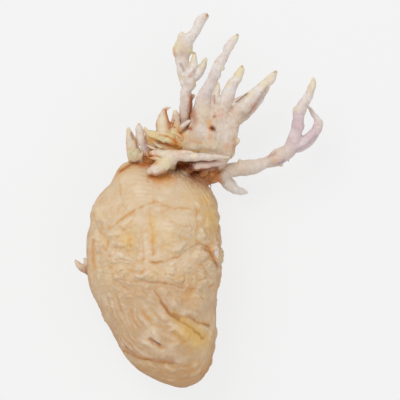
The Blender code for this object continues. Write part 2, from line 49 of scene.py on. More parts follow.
# The tuber, as in its solid: its thickness above and below the middle, and the flat spot that it rests on.
UPPER_THICKNESS = 21.0
LOWER_THICKNESS = 19.6
TAPER = 0.10
REST_DEPTH = 18.6
REST_RADIUS = (8.5, 12.5)
CENTRE = np.array((-1.0, -4.0, 0.0))
FOLD_SEED = 13

# The underside repeats the creases of the upper side, turned half round: x and y become these less x and y.
TURNED = (-3.0, -8.0)

# The fine grid over it: columns around the long axis and rows along it, closer together above and midway.
COLUMNS = 340
ROWS = 284
UPPER_SHARE = 0.34
MIDDLE_SHARE = 0.12

# Heights of the fine skin's forms.
CREASE_DEPTH = 0.85
SHOULDER_RISE = 0.16
FINE_HALF_WIDTH = 0.5
FINE_DEPTH = 0.8
NET_RISE = 0.16
NET_DEPTH = 0.30
WRINKLE_DEPTH = 0.30
CELL_RISE = 0.5
CROWN_ROUGHNESS = 2.0

# How many times the heights are smoothed to find wide and narrow hollows.
WIDE_BLUR = 26
NARROW_BLUR = 3

# The fine sprouts: the step between a stem's points, how far its radius varies, and the fused mesh's grain.
STEP = 0.4
KNOB_SHARE = 0.28
VOXEL = 0.25

# How many times a fused mesh is smoothed, and then drawn together to find its narrow and wide hollows.
SMOOTHING = 5
NARROW_DRAW = 14
WIDE_DRAW = 50

# A gap between two pieces in the crown counts up to this width, and the crown ends at this y.
WIDEST_GAP = 9.0
CROWN_END = 62

# The stage: its places are in metres, and the camera stands above the middle of the part.
FLOOR_HALF = 2.5
CAMERA_PLACE = (0.0168, 0.0248, 0.922)
LENS = 202.5
LAMP_AIM = (0.01, 0.02, 0.02)
PAPER_GLOW = 0.762
SKY_STRENGTH = 0.70

# Place, size and power of each lamp.
LAMPS = {
    "key": ((-0.36, 0.54, 0.85), 0.6, 5.0),
    "fill": ((0.5, -0.35, 0.9), 0.9, 1.8),
}

# The tuber's edge seen from above, anticlockwise from the right.
OUTLINE = [
    (25.8, 1.6), (24.8, 8.0), (24.2, 14.8), (23.5, 22.4), (21.3, 28.1), (18.0, 32.4), (14.0, 34.8),
    (8.0, 37.6), (2.0, 39.4), (-4.0, 40.4), (-10.0, 40.6), (-14.6, 39.0), (-17.2, 35.3), (-19.2, 31.4),
    (-22.2, 28.4), (-25.0, 24.8), (-27.2, 19.6), (-27.2, 15.4), (-28.6, 10.4), (-28.8, 3.0), (-28.4, -5.2),
    (-27.1, -11.4), (-24.0, -17.6), (-20.7, -24.2), (-17.1, -31.0), (-13.5, -37.4), (-8.6, -42.9),
    (-3.5, -46.1), (2.4, -48.8), (9.6, -50.4), (15.6, -48.6), (19.4, -44.4), (21.8, -38.4), (22.7, -31.2),
    (23.3, -23.6), (23.3, -17.0), (23.9, -11.3), (24.8, -4.4),
]

# Creases that can be seen from above: half-width, depth and the line that each follows. They are the solid's,
# though three of them are shorter or slighter here.
CREASES = [
    (1.3, 1.7, [(-21, 13), (-17, 14.4), (-12, 18.8), (-8, 21.2), (-2, 23.6)]),
    (1.3, 1.3, [(-2, 24.6), (3, 22.8), (7, 21.6), (12, 21.4), (16, 20.4)]),
    (1.2, 1.6, [(-2.8, 20.0), (-2.2, 14), (-1.6, 8), (-1.4, 3.6)]),
    (1.1, 1.1, [(-6, 13), (-5.6, 4), (-5.2, -3)]),
    (1.2, 1.9, [(-3, 0.8), (3, 0.8), (8, 2.2), (12, 5.6), (17, 8), (20, 6.4)]),
    (1.2, 1.6, [(15.2, 21), (15.2, 13), (15.6, 8)]),
    (1.2, 2.4, [(18, 6), (20.6, 4), (22, 1), (23.6, -2)]),
    (1.2, 0.7, [(8, 34), (13, 31), (17.4, 26), (19.4, 20)]),
    (1.3, 1.6, [(-22.4, 15), (-22, 11.6), (-20, 9), (-19.6, 3)]),
    (1.2, 1.5, [(-26.4, 8), (-25.6, 1), (-25.4, -6)]),
    (1.3, 1.0, [(-15.4, 33), (-14.4, 26), (-15.4, 20)]),
    (1.0, 1.2, [(-19, -2), (-15, -4), (-12, -2.4), (-7, -4.2), (-3, -1.6)]),
    (1.2, 2.0, [(-8.6, -7), (-4, -7), (-1, -7.6), (4, -8.2), (9.4, -9.6)]),
    (1.0, 1.2, [(-1.2, -3.2), (1, -6), (4, -7.8)]),
    (1.2, 1.1, [(13.4, -2), (13.8, -8), (13.2, -12.4)]),
    (1.1, 1.5, [(12.6, 1), (17, -0.6), (19.4, -3.4), (21, -6.4)]),
    (1.3, 1.6, [(13, -10), (18, -11), (22, -9)]),
    (1.6, 3.2, [(-1, -10.4), (0.4, -13), (2.4, -17), (5.6, -20.8), (9.6, -22.6), (14, -25.8), (17.6, -29.6)]),
    (1.2, 2.2, [(7, -19.4), (12, -21.2), (16, -23.4), (20, -25)]),
    (1.2, 1.4, [(-8, -14), (-5.4, -19), (-2, -23.6), (3, -26)]),
    (1.3, 1.5, [(-11.4, -16), (-9.6, -22), (-6, -28), (-2.6, -30.6)]),
    (0.8, 1.6, [(-3.6, -30.2), (-1.6, -32), (1.4, -33.2)]),
    (1.5, 2.2, [(-14, -35.4), (-7, -38.2), (0, -39.2), (8, -40)]),
    (1.3, 1.1, [(-7, -42.4), (-1, -43.8), (6, -44.2), (14, -43.0)]),
    (1.3, 1.5, [(-18, -27), (-15.6, -32), (-12, -37)]),
    (1.2, 1.2, [(-23, -14), (-20.6, -21), (-17.6, -27)]),
    (1.1, 1.3, [(-17, -12), (-14.6, -19), (-11, -26), (-7.6, -31)]),
    (1.1, 1.2, [(-20, -7), (-14, -8.6), (-9, -11)]),
    (1.2, 1.2, [(18.4, -29), (19.2, -35), (17.4, -41)]),
    (1.1, 1.0, [(6, -28), (10, -31), (13, -36)]),
]

# Swollen folds: a middle, a radius and a height, seen from above.
LUMPS = [
    ((16.5, -16.5), 4.6, 1.6), ((17.5, 2.6), 3.4, 1.2), ((17.4, -6.2), 3.2, 1.2),
    ((7.0, -3.6), 3.6, 1.2), ((6.0, 13.0), 6.0, 1.1), ((-12.6, 7.0), 5.0, 0.9),
    ((-3.0, -12.0), 3.2, 0.8), ((7.2, -14.2), 3.6, 1.1), ((-16.0, -17.0), 4.5, 0.6),
    ((-23.4, 21.0), 4.0, 1.6), ((5.0, -33.0), 5.0, 0.8), ((-11.0, 14.4), 3.6, 0.8),
    ((8.0, 6.0), 3.6, 0.8), ((-13.0, -31.0), 3.6, 0.6), ((19.6, 13.6), 3.2, 0.8),
    ((10.0, -29.4), 3.4, 0.8),
]

# The rough crown that the top sprouts root in: middle and radius of each swelling, with z from the middle.
CROWN = [
    ((3.6, 36.4, 0.0), 4.6), ((10.5, 35.6, 0.0), 5.0), ((16.0, 33.0, -0.6), 4.4),
]

# Finer creases of the skin: depth and line.
FINE_CREASES = [
    (0.5, [(-14.6, 38.6), (-6, 38.4), (0, 37.6), (6, 35.6), (12, 31.6), (17, 26.4), (20, 20)]),
    (0.35, [(2, 35), (8, 31.4), (12.6, 26.6), (16, 20)]),
    (0.35, [(-14.8, 31.2), (-13.8, 26.4), (-13.2, 23.6), (-14.6, 21.6)]),
    (0.4, [(-20, 22), (-18, 27), (-15, 31)]),
    (0.5, [(-23, 12), (-18, 10.4), (-14, 12.4), (-10, 14)]),
    (0.4, [(4, 20), (5.4, 14), (5, 8), (6, 3)]),
    (0.35, [(-2, 10), (2, 11.4), (6, 10.6), (11, 12)]),
    (0.5, [(-20, 6), (-15, 5), (-10, 6), (-6, 4.6)]),
    (0.45, [(-20, 0.6), (-14, 1.6), (-9, 0.2), (-5, 1.2)]),
    (0.45, [(-10, 10), (-10.4, 4), (-9.6, -1)]),
    (0.5, [(16, 16), (19, 13.4), (22.4, 12.4)]),
    (0.4, [(9, 1.6), (10, -3), (9, -7.6)]),
    (0.6, [(4, 0), (3.4, -4), (4.4, -7)]),
    (0.5, [(13, -3), (17, -3.6), (21, -2.4)]),
    (0.5, [(15, -7), (15.6, -10), (18, -14)]),
    (0.5, [(-12, -5), (-12.6, -9), (-11, -14)]),
    (0.5, [(-22, -4), (-18, -5.4), (-13, -6.4)]),
    (0.6, [(-16, -3.2), (-14.4, -4.0), (-12, -2.8)]),
    (0.6, [(-16, -9.8), (-13.6, -9.0), (-12, -9.2)]),
    (0.5, [(4, -12), (8, -16), (12, -18.6)]),
    (0.5, [(20, -18), (21.6, -24), (21, -30)]),
    (0.6, [(-10.4, -16.4), (-8.4, -20), (-6.4, -24), (-4, -27.6), (-2, -29.6)]),
    (0.6, [(-12.8, -15.2), (-10.8, -21.2), (-8.8, -25.2), (-6.4, -28.4)]),
    (0.5, [(-5.6, -16.4), (-3.6, -19.2), (-1.6, -21.6)]),
    (0.5, [(-11.2, -38.4), (-7.2, -41.6), (-3.2, -44), (0, -46)]),
    (0.5, [(-3.2, -41.6), (2.8, -43.2), (8, -43.4), (12.8, -43.2)]),
    (0.5, [(4.8, -47.2), (10.8, -46.4), (16.8, -42.4)]),
]

# Broad patches where the folds are weak: a middle, a radius and how far they are calmed.
CALM = [
    ((16.0, -16.5), 6.0, 0.85), ((7.5, 14.5), 7.0, 0.65), ((-8.5, 13.0), 5.5, 0.5),
    ((12.0, -32.0), 7.0, 0.55), ((5.0, -3.0), 4.0, 0.2), ((16.5, 1.0), 4.5, 0.15),
]

# Each sprout is a set of stems, and each stem a line of (x, y, z, radius) that ends in a tip.
SPROUTS = {
    "sprout_front": [
        [(4.4, 36.0, 17.0, 2.4), (4.8, 38.4, 22.6, 2.6), (5.4, 41.2, 28.0, 2.5)],
        [(-2.6, 43.4, 27.2, 1.1), (-0.6, 43.2, 27.8, 1.8), (2.6, 42.8, 28.4, 2.1), (7.2, 42.4, 29.0, 2.2),
         (12.8, 42.0, 29.4, 2.0), (16.8, 42.0, 29.6, 1.6), (21.6, 41.8, 29.5, 1.3), (25.6, 41.8, 29.4, 0.9),
         (28.8, 41.6, 29.2, 0.4)],
        [(6.4, 41.4, 28.8, 2.1), (3.2, 39.2, 30.2, 2.6), (0.6, 37.6, 30.8, 2.8), (-1.4, 36.6, 30.9, 2.3),
         (-3.2, 35.9, 30.9, 1.4)],
        [(7.0, 43.0, 29.4, 1.4), (11.6, 43.6, 30.6, 1.0), (14.2, 43.4, 31.0, 0.4)],
    ],
    "sprout_low": [
        [(12.0, 35.4, 17.0, 1.7), (12.0, 37.0, 22.0, 1.7), (13.8, 38.0, 25.4, 1.6), (17.0, 38.4, 26.2, 1.8),
         (21.0, 38.8, 26.0, 1.7), (24.0, 39.3, 25.8, 1.2), (26.6, 39.7, 25.6, 0.5)],
        [(17.6, 34.4, 17.0, 2.0), (18.2, 36.0, 21.6, 2.0), (18.8, 37.4, 25.0, 1.6)],
    ],
    "sprout_long": [
        [(11.6, 30.4, 17.0, 2.8), (18.2, 33.2, 17.2, 2.9), (24.4, 35.6, 16.8, 3.4), (29.6, 36.8, 16.6, 3.0),
         (32.8, 37.4, 16.6, 2.9), (36.0, 38.0, 16.8, 3.2), (39.2, 38.5, 17.0, 2.9), (42.4, 39.5, 17.1, 2.3),
         (44.4, 40.3, 17.2, 2.4), (46.4, 41.0, 17.3, 3.0), (48.8, 41.9, 17.5, 3.1), (51.9, 44.3, 17.8, 3.0),
         (54.6, 47.3, 18.2, 3.0)],
        [(52.8, 45.6, 18.0, 2.6), (54.8, 48.8, 18.6, 2.9), (55.4, 52.0, 19.2, 2.4), (56.1, 55.2, 19.8, 2.5),
         (56.4, 58.0, 20.4, 2.4), (56.6, 60.4, 20.8, 2.6), (58.0, 62.8, 21.3, 2.1), (59.2, 64.8, 21.8, 2.1),
         (60.3, 66.8, 22.2, 1.7), (61.4, 69.4, 22.8, 1.7), (61.9, 71.5, 23.2, 1.3), (62.1, 73.2, 23.5, 0.8)],
        [(54.6, 46.2, 18.0, 2.7), (57.3, 47.2, 18.0, 2.8), (59.9, 48.9, 17.7, 2.6), (62.3, 51.3, 17.3, 2.1),
         (64.3, 54.2, 16.9, 2.1), (64.9, 56.3, 16.7, 1.4)],
        [(64.5, 55.4, 16.8, 1.6), (63.5, 57.8, 16.4, 1.2), (62.0, 60.2, 16.0, 1.0), (60.2, 62.6, 15.6, 0.5)],
        [(21.6, 36.0, 16.2, 2.7), (25.2, 34.6, 15.6, 2.7), (27.6, 32.2, 14.6, 2.5), (29.8, 30.0, 13.4, 2.2),
         (32.0, 28.7, 12.4, 1.8), (34.2, 28.0, 11.6, 1.3), (36.0, 27.8, 11.0, 0.6)],
        [(46.0, 41.6, 18.0, 1.8), (46.6, 44.2, 18.6, 0.9), (47.8, 45.4, 18.8, 0.4)],
        [(34.0, 38.6, 17.4, 1.7), (32.6, 40.6, 18.2, 0.8)],
        [(48.2, 40.4, 17.0, 1.8), (49.6, 38.8, 16.6, 0.8)],
        [(57.6, 61.6, 21.0, 1.4), (55.2, 61.3, 21.2, 0.7)],
    ],
    "sprout_tall": [
        [(7.6, 32.0, 18.0, 2.2), (8.6, 40.0, 18.6, 2.6), (9.8, 48.0, 19.4, 2.6), (10.6, 54.0, 20.4, 2.5),
         (10.8, 58.0, 20.8, 2.5), (11.1, 60.8, 21.0, 2.6), (11.2, 63.4, 21.2, 2.6), (11.2, 65.8, 21.4, 2.5),
         (11.1, 68.2, 21.5, 2.2), (12.0, 70.4, 21.6, 2.4), (12.2, 72.2, 21.7, 2.8), (11.6, 74.0, 21.8, 2.9),
         (10.4, 75.8, 21.9, 2.6)],
        [(11.4, 73.4, 21.8, 2.4), (10.0, 76.4, 22.0, 2.6), (9.8, 79.2, 22.2, 2.6), (9.8, 81.8, 22.4, 3.0),
         (9.8, 84.2, 22.6, 3.9), (10.2, 86.2, 22.8, 3.9), (11.3, 88.3, 22.9, 3.4), (13.4, 90.2, 23.2, 2.2),
         (14.8, 91.8, 23.5, 1.8), (15.5, 93.4, 23.8, 2.0), (16.5, 95.4, 24.2, 2.0), (17.9, 97.0, 24.5, 1.8),
         (19.3, 98.3, 24.8, 1.3)],
        [(9.6, 87.4, 22.9, 2.2), (9.3, 90.0, 23.0, 1.6), (9.6, 91.4, 23.0, 0.9)],
        [(8.0, 84.0, 22.2, 1.9), (6.5, 85.6, 22.2, 0.8)],
        [(13.4, 75.0, 22.8, 1.9), (14.1, 79.0, 23.3, 1.6), (14.6, 83.4, 23.9, 0.7)],
        [(12.6, 73.4, 22.0, 2.2), (15.4, 75.2, 21.8, 2.1), (17.4, 77.6, 21.6, 1.8), (19.2, 81.2, 21.5, 0.8)],
        [(12.4, 65.4, 21.4, 1.7), (14.3, 66.6, 21.4, 0.8)],
        [(12.4, 69.4, 21.6, 1.7), (14.6, 71.0, 21.6, 0.9)],
        [(10.8, 71.6, 21.8, 1.9), (9.0, 73.6, 21.8, 0.9)],
        [(8.4, 52.8, 22.6, 1.2), (10.2, 54.6, 23.8, 1.0), (12.2, 56.0, 24.6, 0.9), (13.6, 56.6, 24.9, 0.4)],
    ],
    "sprout_horns": [
        [(-7.6, 34.0, 17.6, 2.4), (-8.6, 38.4, 19.4, 3.0), (-9.0, 41.6, 22.0, 3.1), (-9.4, 44.6, 24.2, 2.7)],
        [(-9.4, 42.0, 24.0, 2.8), (-9.8, 44.8, 24.8, 2.7), (-10.4, 46.8, 25.3, 2.3), (-10.9, 48.8, 25.7, 2.0),
         (-11.2, 51.2, 26.1, 1.4), (-11.7, 53.4, 26.4, 0.7)],
        [(-4.4, 43.6, 24.4, 1.9), (-5.2, 45.8, 25.2, 1.7), (-6.2, 48.0, 25.8, 1.8), (-7.0, 50.8, 26.4, 1.8),
         (-7.5, 53.4, 27.0, 1.4), (-7.5, 54.9, 27.2, 0.8)],
        [(-8.6, 40.6, 21.6, 2.6), (-4.8, 42.6, 22.4, 2.5), (-2.6, 45.4, 23.4, 2.1)],
        [(-8.0, 38.0, 20.0, 2.6), (-4.4, 40.6, 22.0, 2.2), (-1.6, 41.0, 23.0, 1.6)],
    ],
    "sprout_hook": [
        [(0.0, 34.0, 18.0, 2.8), (0.6, 39.4, 19.4, 3.2), (1.4, 45.0, 21.4, 3.6), (2.2, 50.0, 22.4, 3.4),
         (2.4, 53.6, 23.0, 3.0), (1.9, 56.6, 23.4, 2.6), (2.1, 59.0, 23.8, 1.7), (3.0, 61.0, 24.2, 1.0),
         (5.0, 61.8, 24.5, 0.4)],
        [(4.4, 47.0, 21.6, 2.6), (6.4, 51.4, 22.0, 2.6), (7.0, 55.2, 22.4, 2.1), (7.2, 58.2, 22.6, 1.5),
         (6.8, 60.2, 22.8, 0.9)],
        [(5.6, 49.4, 24.4, 1.8), (1.4, 50.4, 25.4, 1.8), (-2.6, 50.9, 26.0, 1.8), (-4.5, 52.2, 26.2, 1.1),
         (-5.2, 53.9, 26.3, 0.4)],
        [(8.0, 46.0, 23.6, 1.6), (4.4, 48.4, 25.2, 1.4), (0.6, 50.0, 25.6, 0.6)],
        [(1.6, 45.0, 23.6, 1.8), (-1.6, 46.6, 25.2, 1.3), (-3.6, 48.6, 25.8, 0.5)],
        [(4.0, 44.6, 23.8, 1.8), (0.0, 44.8, 25.0, 1.1), (-3.0, 46.2, 25.4, 0.5)],
        [(-1.0, 46.0, 24.0, 2.2), (-2.4, 48.4, 24.8, 2.3), (-3.8, 50.0, 25.4, 1.5)],
        [(3.0, 43.0, 22.0, 2.6), (6.6, 46.2, 22.8, 2.4), (8.0, 49.6, 23.2, 2.0)],
    ],
    "sprout_fan": [
        [(11.0, 32.0, 18.0, 3.2), (12.6, 42.0, 20.0, 4.2), (14.8, 48.0, 22.0, 4.5), (16.8, 53.6, 23.4, 4.7),
         (17.4, 58.8, 24.2, 4.2), (18.0, 63.6, 24.8, 3.3), (18.2, 65.6, 25.0, 2.9), (19.5, 68.8, 25.4, 2.3),
         (21.2, 71.4, 25.8, 2.2), (22.4, 74.0, 26.1, 2.4), (23.2, 76.4, 26.4, 2.1), (24.6, 78.8, 26.7, 2.0),
         (25.7, 80.8, 27.0, 2.0), (27.2, 83.2, 27.3, 1.7), (28.0, 85.4, 27.6, 1.9), (29.9, 88.0, 27.9, 1.7),
         (31.8, 90.2, 28.2, 0.8)],
        [(18.0, 33.0, 18.0, 3.4), (21.0, 42.0, 20.4, 4.2), (23.4, 49.6, 22.6, 4.3), (24.8, 55.2, 23.6, 3.9),
         (25.6, 60.0, 24.2, 3.3), (27.4, 64.8, 24.8, 2.9), (28.0, 66.8, 25.0, 2.7), (28.7, 68.8, 25.3, 2.6),
         (29.8, 70.8, 25.6, 2.3), (31.2, 72.8, 25.8, 1.9), (32.4, 74.8, 26.1, 1.7), (33.2, 76.6, 26.4, 1.4),
         (33.6, 78.0, 26.6, 0.7)],
        [(21.0, 35.0, 18.0, 3.0), (25.2, 43.0, 20.4, 3.8), (27.8, 49.6, 22.2, 3.8), (29.2, 55.2, 23.0, 3.5),
         (31.6, 59.4, 23.4, 3.2), (35.2, 63.2, 23.6, 3.0), (38.8, 66.9, 23.7, 2.7), (42.4, 70.4, 23.7, 2.1),
         (45.2, 73.5, 23.6, 1.8), (47.1, 76.0, 23.5, 0.8)],
        [(30.6, 56.8, 21.6, 2.8), (34.2, 59.2, 21.2, 2.6), (37.6, 62.0, 21.0, 2.1), (40.8, 65.8, 20.8, 1.8),
         (43.0, 68.8, 20.7, 1.4), (44.4, 70.0, 20.7, 0.6)],
        [(22.4, 62.4, 24.4, 1.8), (23.2, 66.0, 25.0, 1.5), (23.8, 69.0, 25.4, 1.1), (24.0, 71.4, 25.6, 0.5)],
        [(30.6, 62.8, 24.4, 1.6), (33.2, 65.2, 25.2, 1.2), (36.0, 67.4, 25.7, 0.5)],
        [(20.0, 40.0, 20.4, 4.4), (20.6, 48.0, 22.8, 4.8), (21.2, 55.0, 23.8, 4.0), (21.8, 60.6, 24.2, 2.2)],
        [(27.0, 44.0, 20.8, 4.0), (27.0, 52.0, 23.0, 3.8), (28.6, 58.6, 24.0, 2.6)],
        [(30.0, 48.0, 22.4, 2.2), (32.2, 48.6, 22.6, 0.9)],
        [(8.0, 40.0, 19.6, 3.0), (9.6, 44.6, 21.4, 3.2), (11.0, 49.0, 22.8, 2.6), (12.4, 51.6, 23.8, 1.5)],
        [(23.2, 79.4, 26.6, 1.2), (24.8, 78.4, 26.8, 1.5), (25.8, 77.0, 26.6, 1.0)],
        [(26.6, 84.4, 27.4, 0.6), (28.0, 84.8, 27.5, 1.3), (29.6, 85.4, 27.6, 0.9)],
        [(30.6, 70.0, 25.4, 1.6), (27.8, 71.4, 25.6, 0.5)],
    ],
    "side_sprout": [
        [(-22.6, -3.4, 18.4, 1.8), (-26.6, -3.8, 18.8, 1.9), (-29.6, -2.8, 19.4, 1.5),
         (-31.8, -1.2, 19.9, 1.2), (-33.2, 0.6, 20.3, 0.5)],
        [(-25.6, -3.0, 19.2, 1.6), (-28.2, -0.8, 20.0, 1.5), (-29.6, 1.4, 20.6, 0.5)],
    ],
    "side_bud": [
        [(18.0, 4.6, 23.0, 1.6), (21.4, 5.8, 26.4, 2.0), (23.0, 4.0, 27.4, 1.6), (23.6, 1.4, 27.4, 0.5)],
    ],
}

# Sprouts that are less thick than they are wide, and by what share.
FLATTENED = {"sprout_fan": 0.8, "sprout_horns": 0.65, "sprout_hook": 0.7}

# Thin scales of the crown, finer than the stems: they are grown with the sprout that they belong to.
SCALES = {
    "sprout_hook": [
        [(0.4, 44.4, 26.8, 0.7), (-2.4, 45.6, 27.4, 0.6), (-4.6, 46.9, 27.5, 0.3)],
        [(1.2, 45.6, 26.6, 0.7), (-1.4, 47.4, 27.2, 0.6), (-3.2, 48.8, 27.2, 0.3)],
        [(9.0, 46.0, 24.6, 0.8), (6.6, 47.6, 25.8, 0.6), (4.6, 49.0, 26.3, 0.3)],
        [(10.2, 48.6, 24.0, 0.8), (8.4, 50.6, 25.2, 0.7), (6.2, 51.8, 25.7, 0.3)],
        [(2.6, 48.0, 25.2, 0.8), (-0.6, 49.4, 26.6, 0.6), (-3.2, 50.0, 27.6, 0.3)],
    ],
    "sprout_horns": [
        [(-2.6, 40.6, 24.0, 0.9), (-3.8, 42.4, 26.2, 0.7), (-4.8, 44.2, 26.9, 0.3)],
        [(-6.4, 39.6, 23.0, 0.9), (-6.6, 42.0, 25.4, 0.7), (-6.0, 44.6, 26.4, 0.3)],
    ],
    "sprout_front": [
        [(1.6, 41.0, 28.6, 0.9), (-1.2, 41.2, 29.2, 0.7), (-3.2, 41.6, 29.0, 0.3)],
    ],
}

# Fine dry roots.
HAIRS = [
    [(20.6, 33.0, 20.6, 0.16), (21.0, 30.8, 19.0, 0.14), (21.2, 28.8, 17.8, 0.08)],
    [(19.4, 33.4, 20.6, 0.14), (20.2, 31.6, 21.4, 0.12), (21.6, 30.4, 21.6, 0.07)],
    [(52.2, 42.4, 16.6, 0.2), (52.5, 41.0, 16.4, 0.14), (52.5, 40.2, 16.2, 0.08)],
    [(23.4, 35.2, 20.2, 0.16), (25.6, 36.4, 21.6, 0.13), (27.0, 36.8, 22.4, 0.07)],
    [(15.0, 35.6, 23.0, 0.16), (16.4, 34.2, 24.4, 0.13), (18.0, 33.4, 24.8, 0.07)],
    [(12.6, 35.0, 24.0, 0.15), (13.6, 33.6, 25.6, 0.12), (15.2, 32.8, 26.2, 0.07)],
    [(18.8, 34.0, 22.6, 0.15), (20.4, 33.0, 23.6, 0.12), (22.0, 32.8, 23.8, 0.07)],
]

# Small dark pits in the palm: middle, reach and depth.
PITS = {"sprout_fan": [(21.6, 53.3, 0.9, 2.2), (22.6, 58.0, 0.6, 0.6)]}


# Colours

def linear(red, green, blue):
    """A colour given as it looks on screen, 0 to 255, as the shader's own numbers."""
    values = np.array((red, green, blue)) / 255.0
    return np.where(values <= 0.04045, values / 12.92, ((values + 0.055) / 1.055) ** 2.4)


TAN = linear(204, 180, 147)
TAN_LOW = linear(192, 161, 127)
OCHRE = linear(200, 148, 82)
BROWN = linear(160, 96, 48)
YELLOW = linear(214, 174, 96)
LEMON = linear(220, 206, 150)
WHITE = linear(219, 213, 208)
PINK = linear(212, 196, 188)
BEIGE = linear(199, 174, 147)
LILAC = linear(198, 170, 184)
STEM = linear(203, 188, 174)
CREAM = linear(219, 207, 178)
RUST = linear(190, 110, 48)
PALE = linear(220, 202, 178)
ORANGE = linear(206, 146, 78)
RED = linear(158, 72, 44)
MAROON = linear(92, 20, 4)
LOWEST_SHADE = linear(184, 141, 94)
ROSE = linear(210, 162, 144)
MAUVE = linear(170, 146, 160)
BARK = linear(164, 104, 70)
# Grey brown: the colour of withered tips and dark edges, and painted shade in a small pit of the palm.
SHADE_AND_WITHER = linear(140, 116, 92)
AMBER = linear(212, 156, 104)
SAGE = linear(206, 202, 166)
DARK = linear(124, 66, 34)
MOSS = linear(150, 142, 84)
PLUM = linear(120, 52, 44)

# Tints of the tuber's skin, from above: reach, colour, strength, and a line or a point.
SKIN_TINTS = [
    # Broad patches. The pale one at the top end is partly painted light.
    (9.0, PALE, 0.3, [(-7.0, 30.0), (6.0, 32.0)]), (4.0, PALE, 0.3, [(21.0, -26.0), (20.0, -38.0)]),
    (6.0, TAN_LOW, 0.5, [(-8.0, -12.0), (6.0, -12.0)]), (4.5, YELLOW, 0.75, [(12.0, -27.6), (17.0, -31.0)]),
    (2.6, YELLOW, 0.6, [(-11.2, 8.8)]), (3.0, YELLOW, 0.6, [(19.0, 24.6)]),
    (2.4, YELLOW, 0.6, [(20.4, 19.0), (22.0, 13.6)]), (1.6, YELLOW, 0.6, [(-1.8, 17.0), (-1.4, 9.0)]),
    (3.0, PALE, 0.5, [(2.0, 15.0)]), (3.0, PALE, 0.45, [(5.0, -2.0), (12.0, 1.0)]),
    (3.0, PALE, 0.4, [(-14.0, 0.0)]),
    # The edge, and the creases and slots: their darker lines are partly the skin's own colour, partly painted
    # shade.
    (0.8, ORANGE, 0.7, [(-25.4, 9.0), (-25.6, 3.0), (-25.0, -1.6)]),
    (2.0, OCHRE, 0.5, [(-15.6, 36.4), (-9.0, 38.6)]),
    (0.7, BROWN, 0.9, [(-5.6, 38.8), (-10.0, 39.4), (-15.0, 36.2)]),
    (0.55, RED, 0.6, [(19.6, 6.4), (21.4, 3.8), (22.8, 0.4), (23.8, -1.6)]),
    (2.0, ORANGE, 0.5, [(20.6, 6.6), (22.4, 2.0)]), (0.8, PALE, 0.9, [(23.2, 5.8)]),
    (0.5, PLUM, 0.9, [(-2.8, -29.8), (-1.0, -31.0), (0.8, -32.2)]),
    (0.7, BARK, 0.5, [(-13.0, -33.6), (-8.0, -37.4), (0.0, -38.6), (6.0, -39.2)]),
    (3.0, PALE, 0.5, [(-1.6, -26.6)]), (0.45, PLUM, 0.6, [(19.2, -24.8), (20.4, -25.4)]),
    (1.8, YELLOW, 0.5, [(6.0, -20.6), (11.0, -24.0), (16.0, -28.4)]),
    (0.6, DARK, 0.6, [(1.6, -15.4), (5.0, -20.0), (8.6, -22.0)]),
    # The last tint below paints shade along the lower right edge.
    (2.2, ORANGE, 0.35, [(12.0, -9.0), (11.0, -14.0)]), (2.4, LOWEST_SHADE, 0.3, [(22.6, -34.0), (18.0, -45.0)]),
    # Where the sprouts root. Rust and orange just below the blunt bud are its painted shadow, and maroon is
    # painted shade in the slots under the front spears.
    (1.3, RUST, 0.9, [(-3.0, 34.2), (0.8, 33.4), (4.0, 34.6)]),
    (2.2, ORANGE, 0.7, [(0.0, 33.0), (6.0, 33.4)]), (2.6, BROWN, 0.7, [(14.0, 33.6), (20.0, 31.0)]),
    (3.0, MAROON, 1.0, [(7.6, 38.4), (17.0, 38.4)]), (1.6, MAROON, 1.0, [(13.6, 35.8), (24.0, 35.6)]),
    (1.6, RUST, 0.9, [(-6.0, 39.0), (-1.0, 39.8)]),
]

# Dark specks beside the hooked sprout.
SPECKS = [
    (4.6, 56.2), (5.4, 55.6), (4.9, 54.9), (6.2, 55.4), (5.8, 54.4), (6.6, 56.4), (5.2, 53.8), (6.6, 53.8),
]

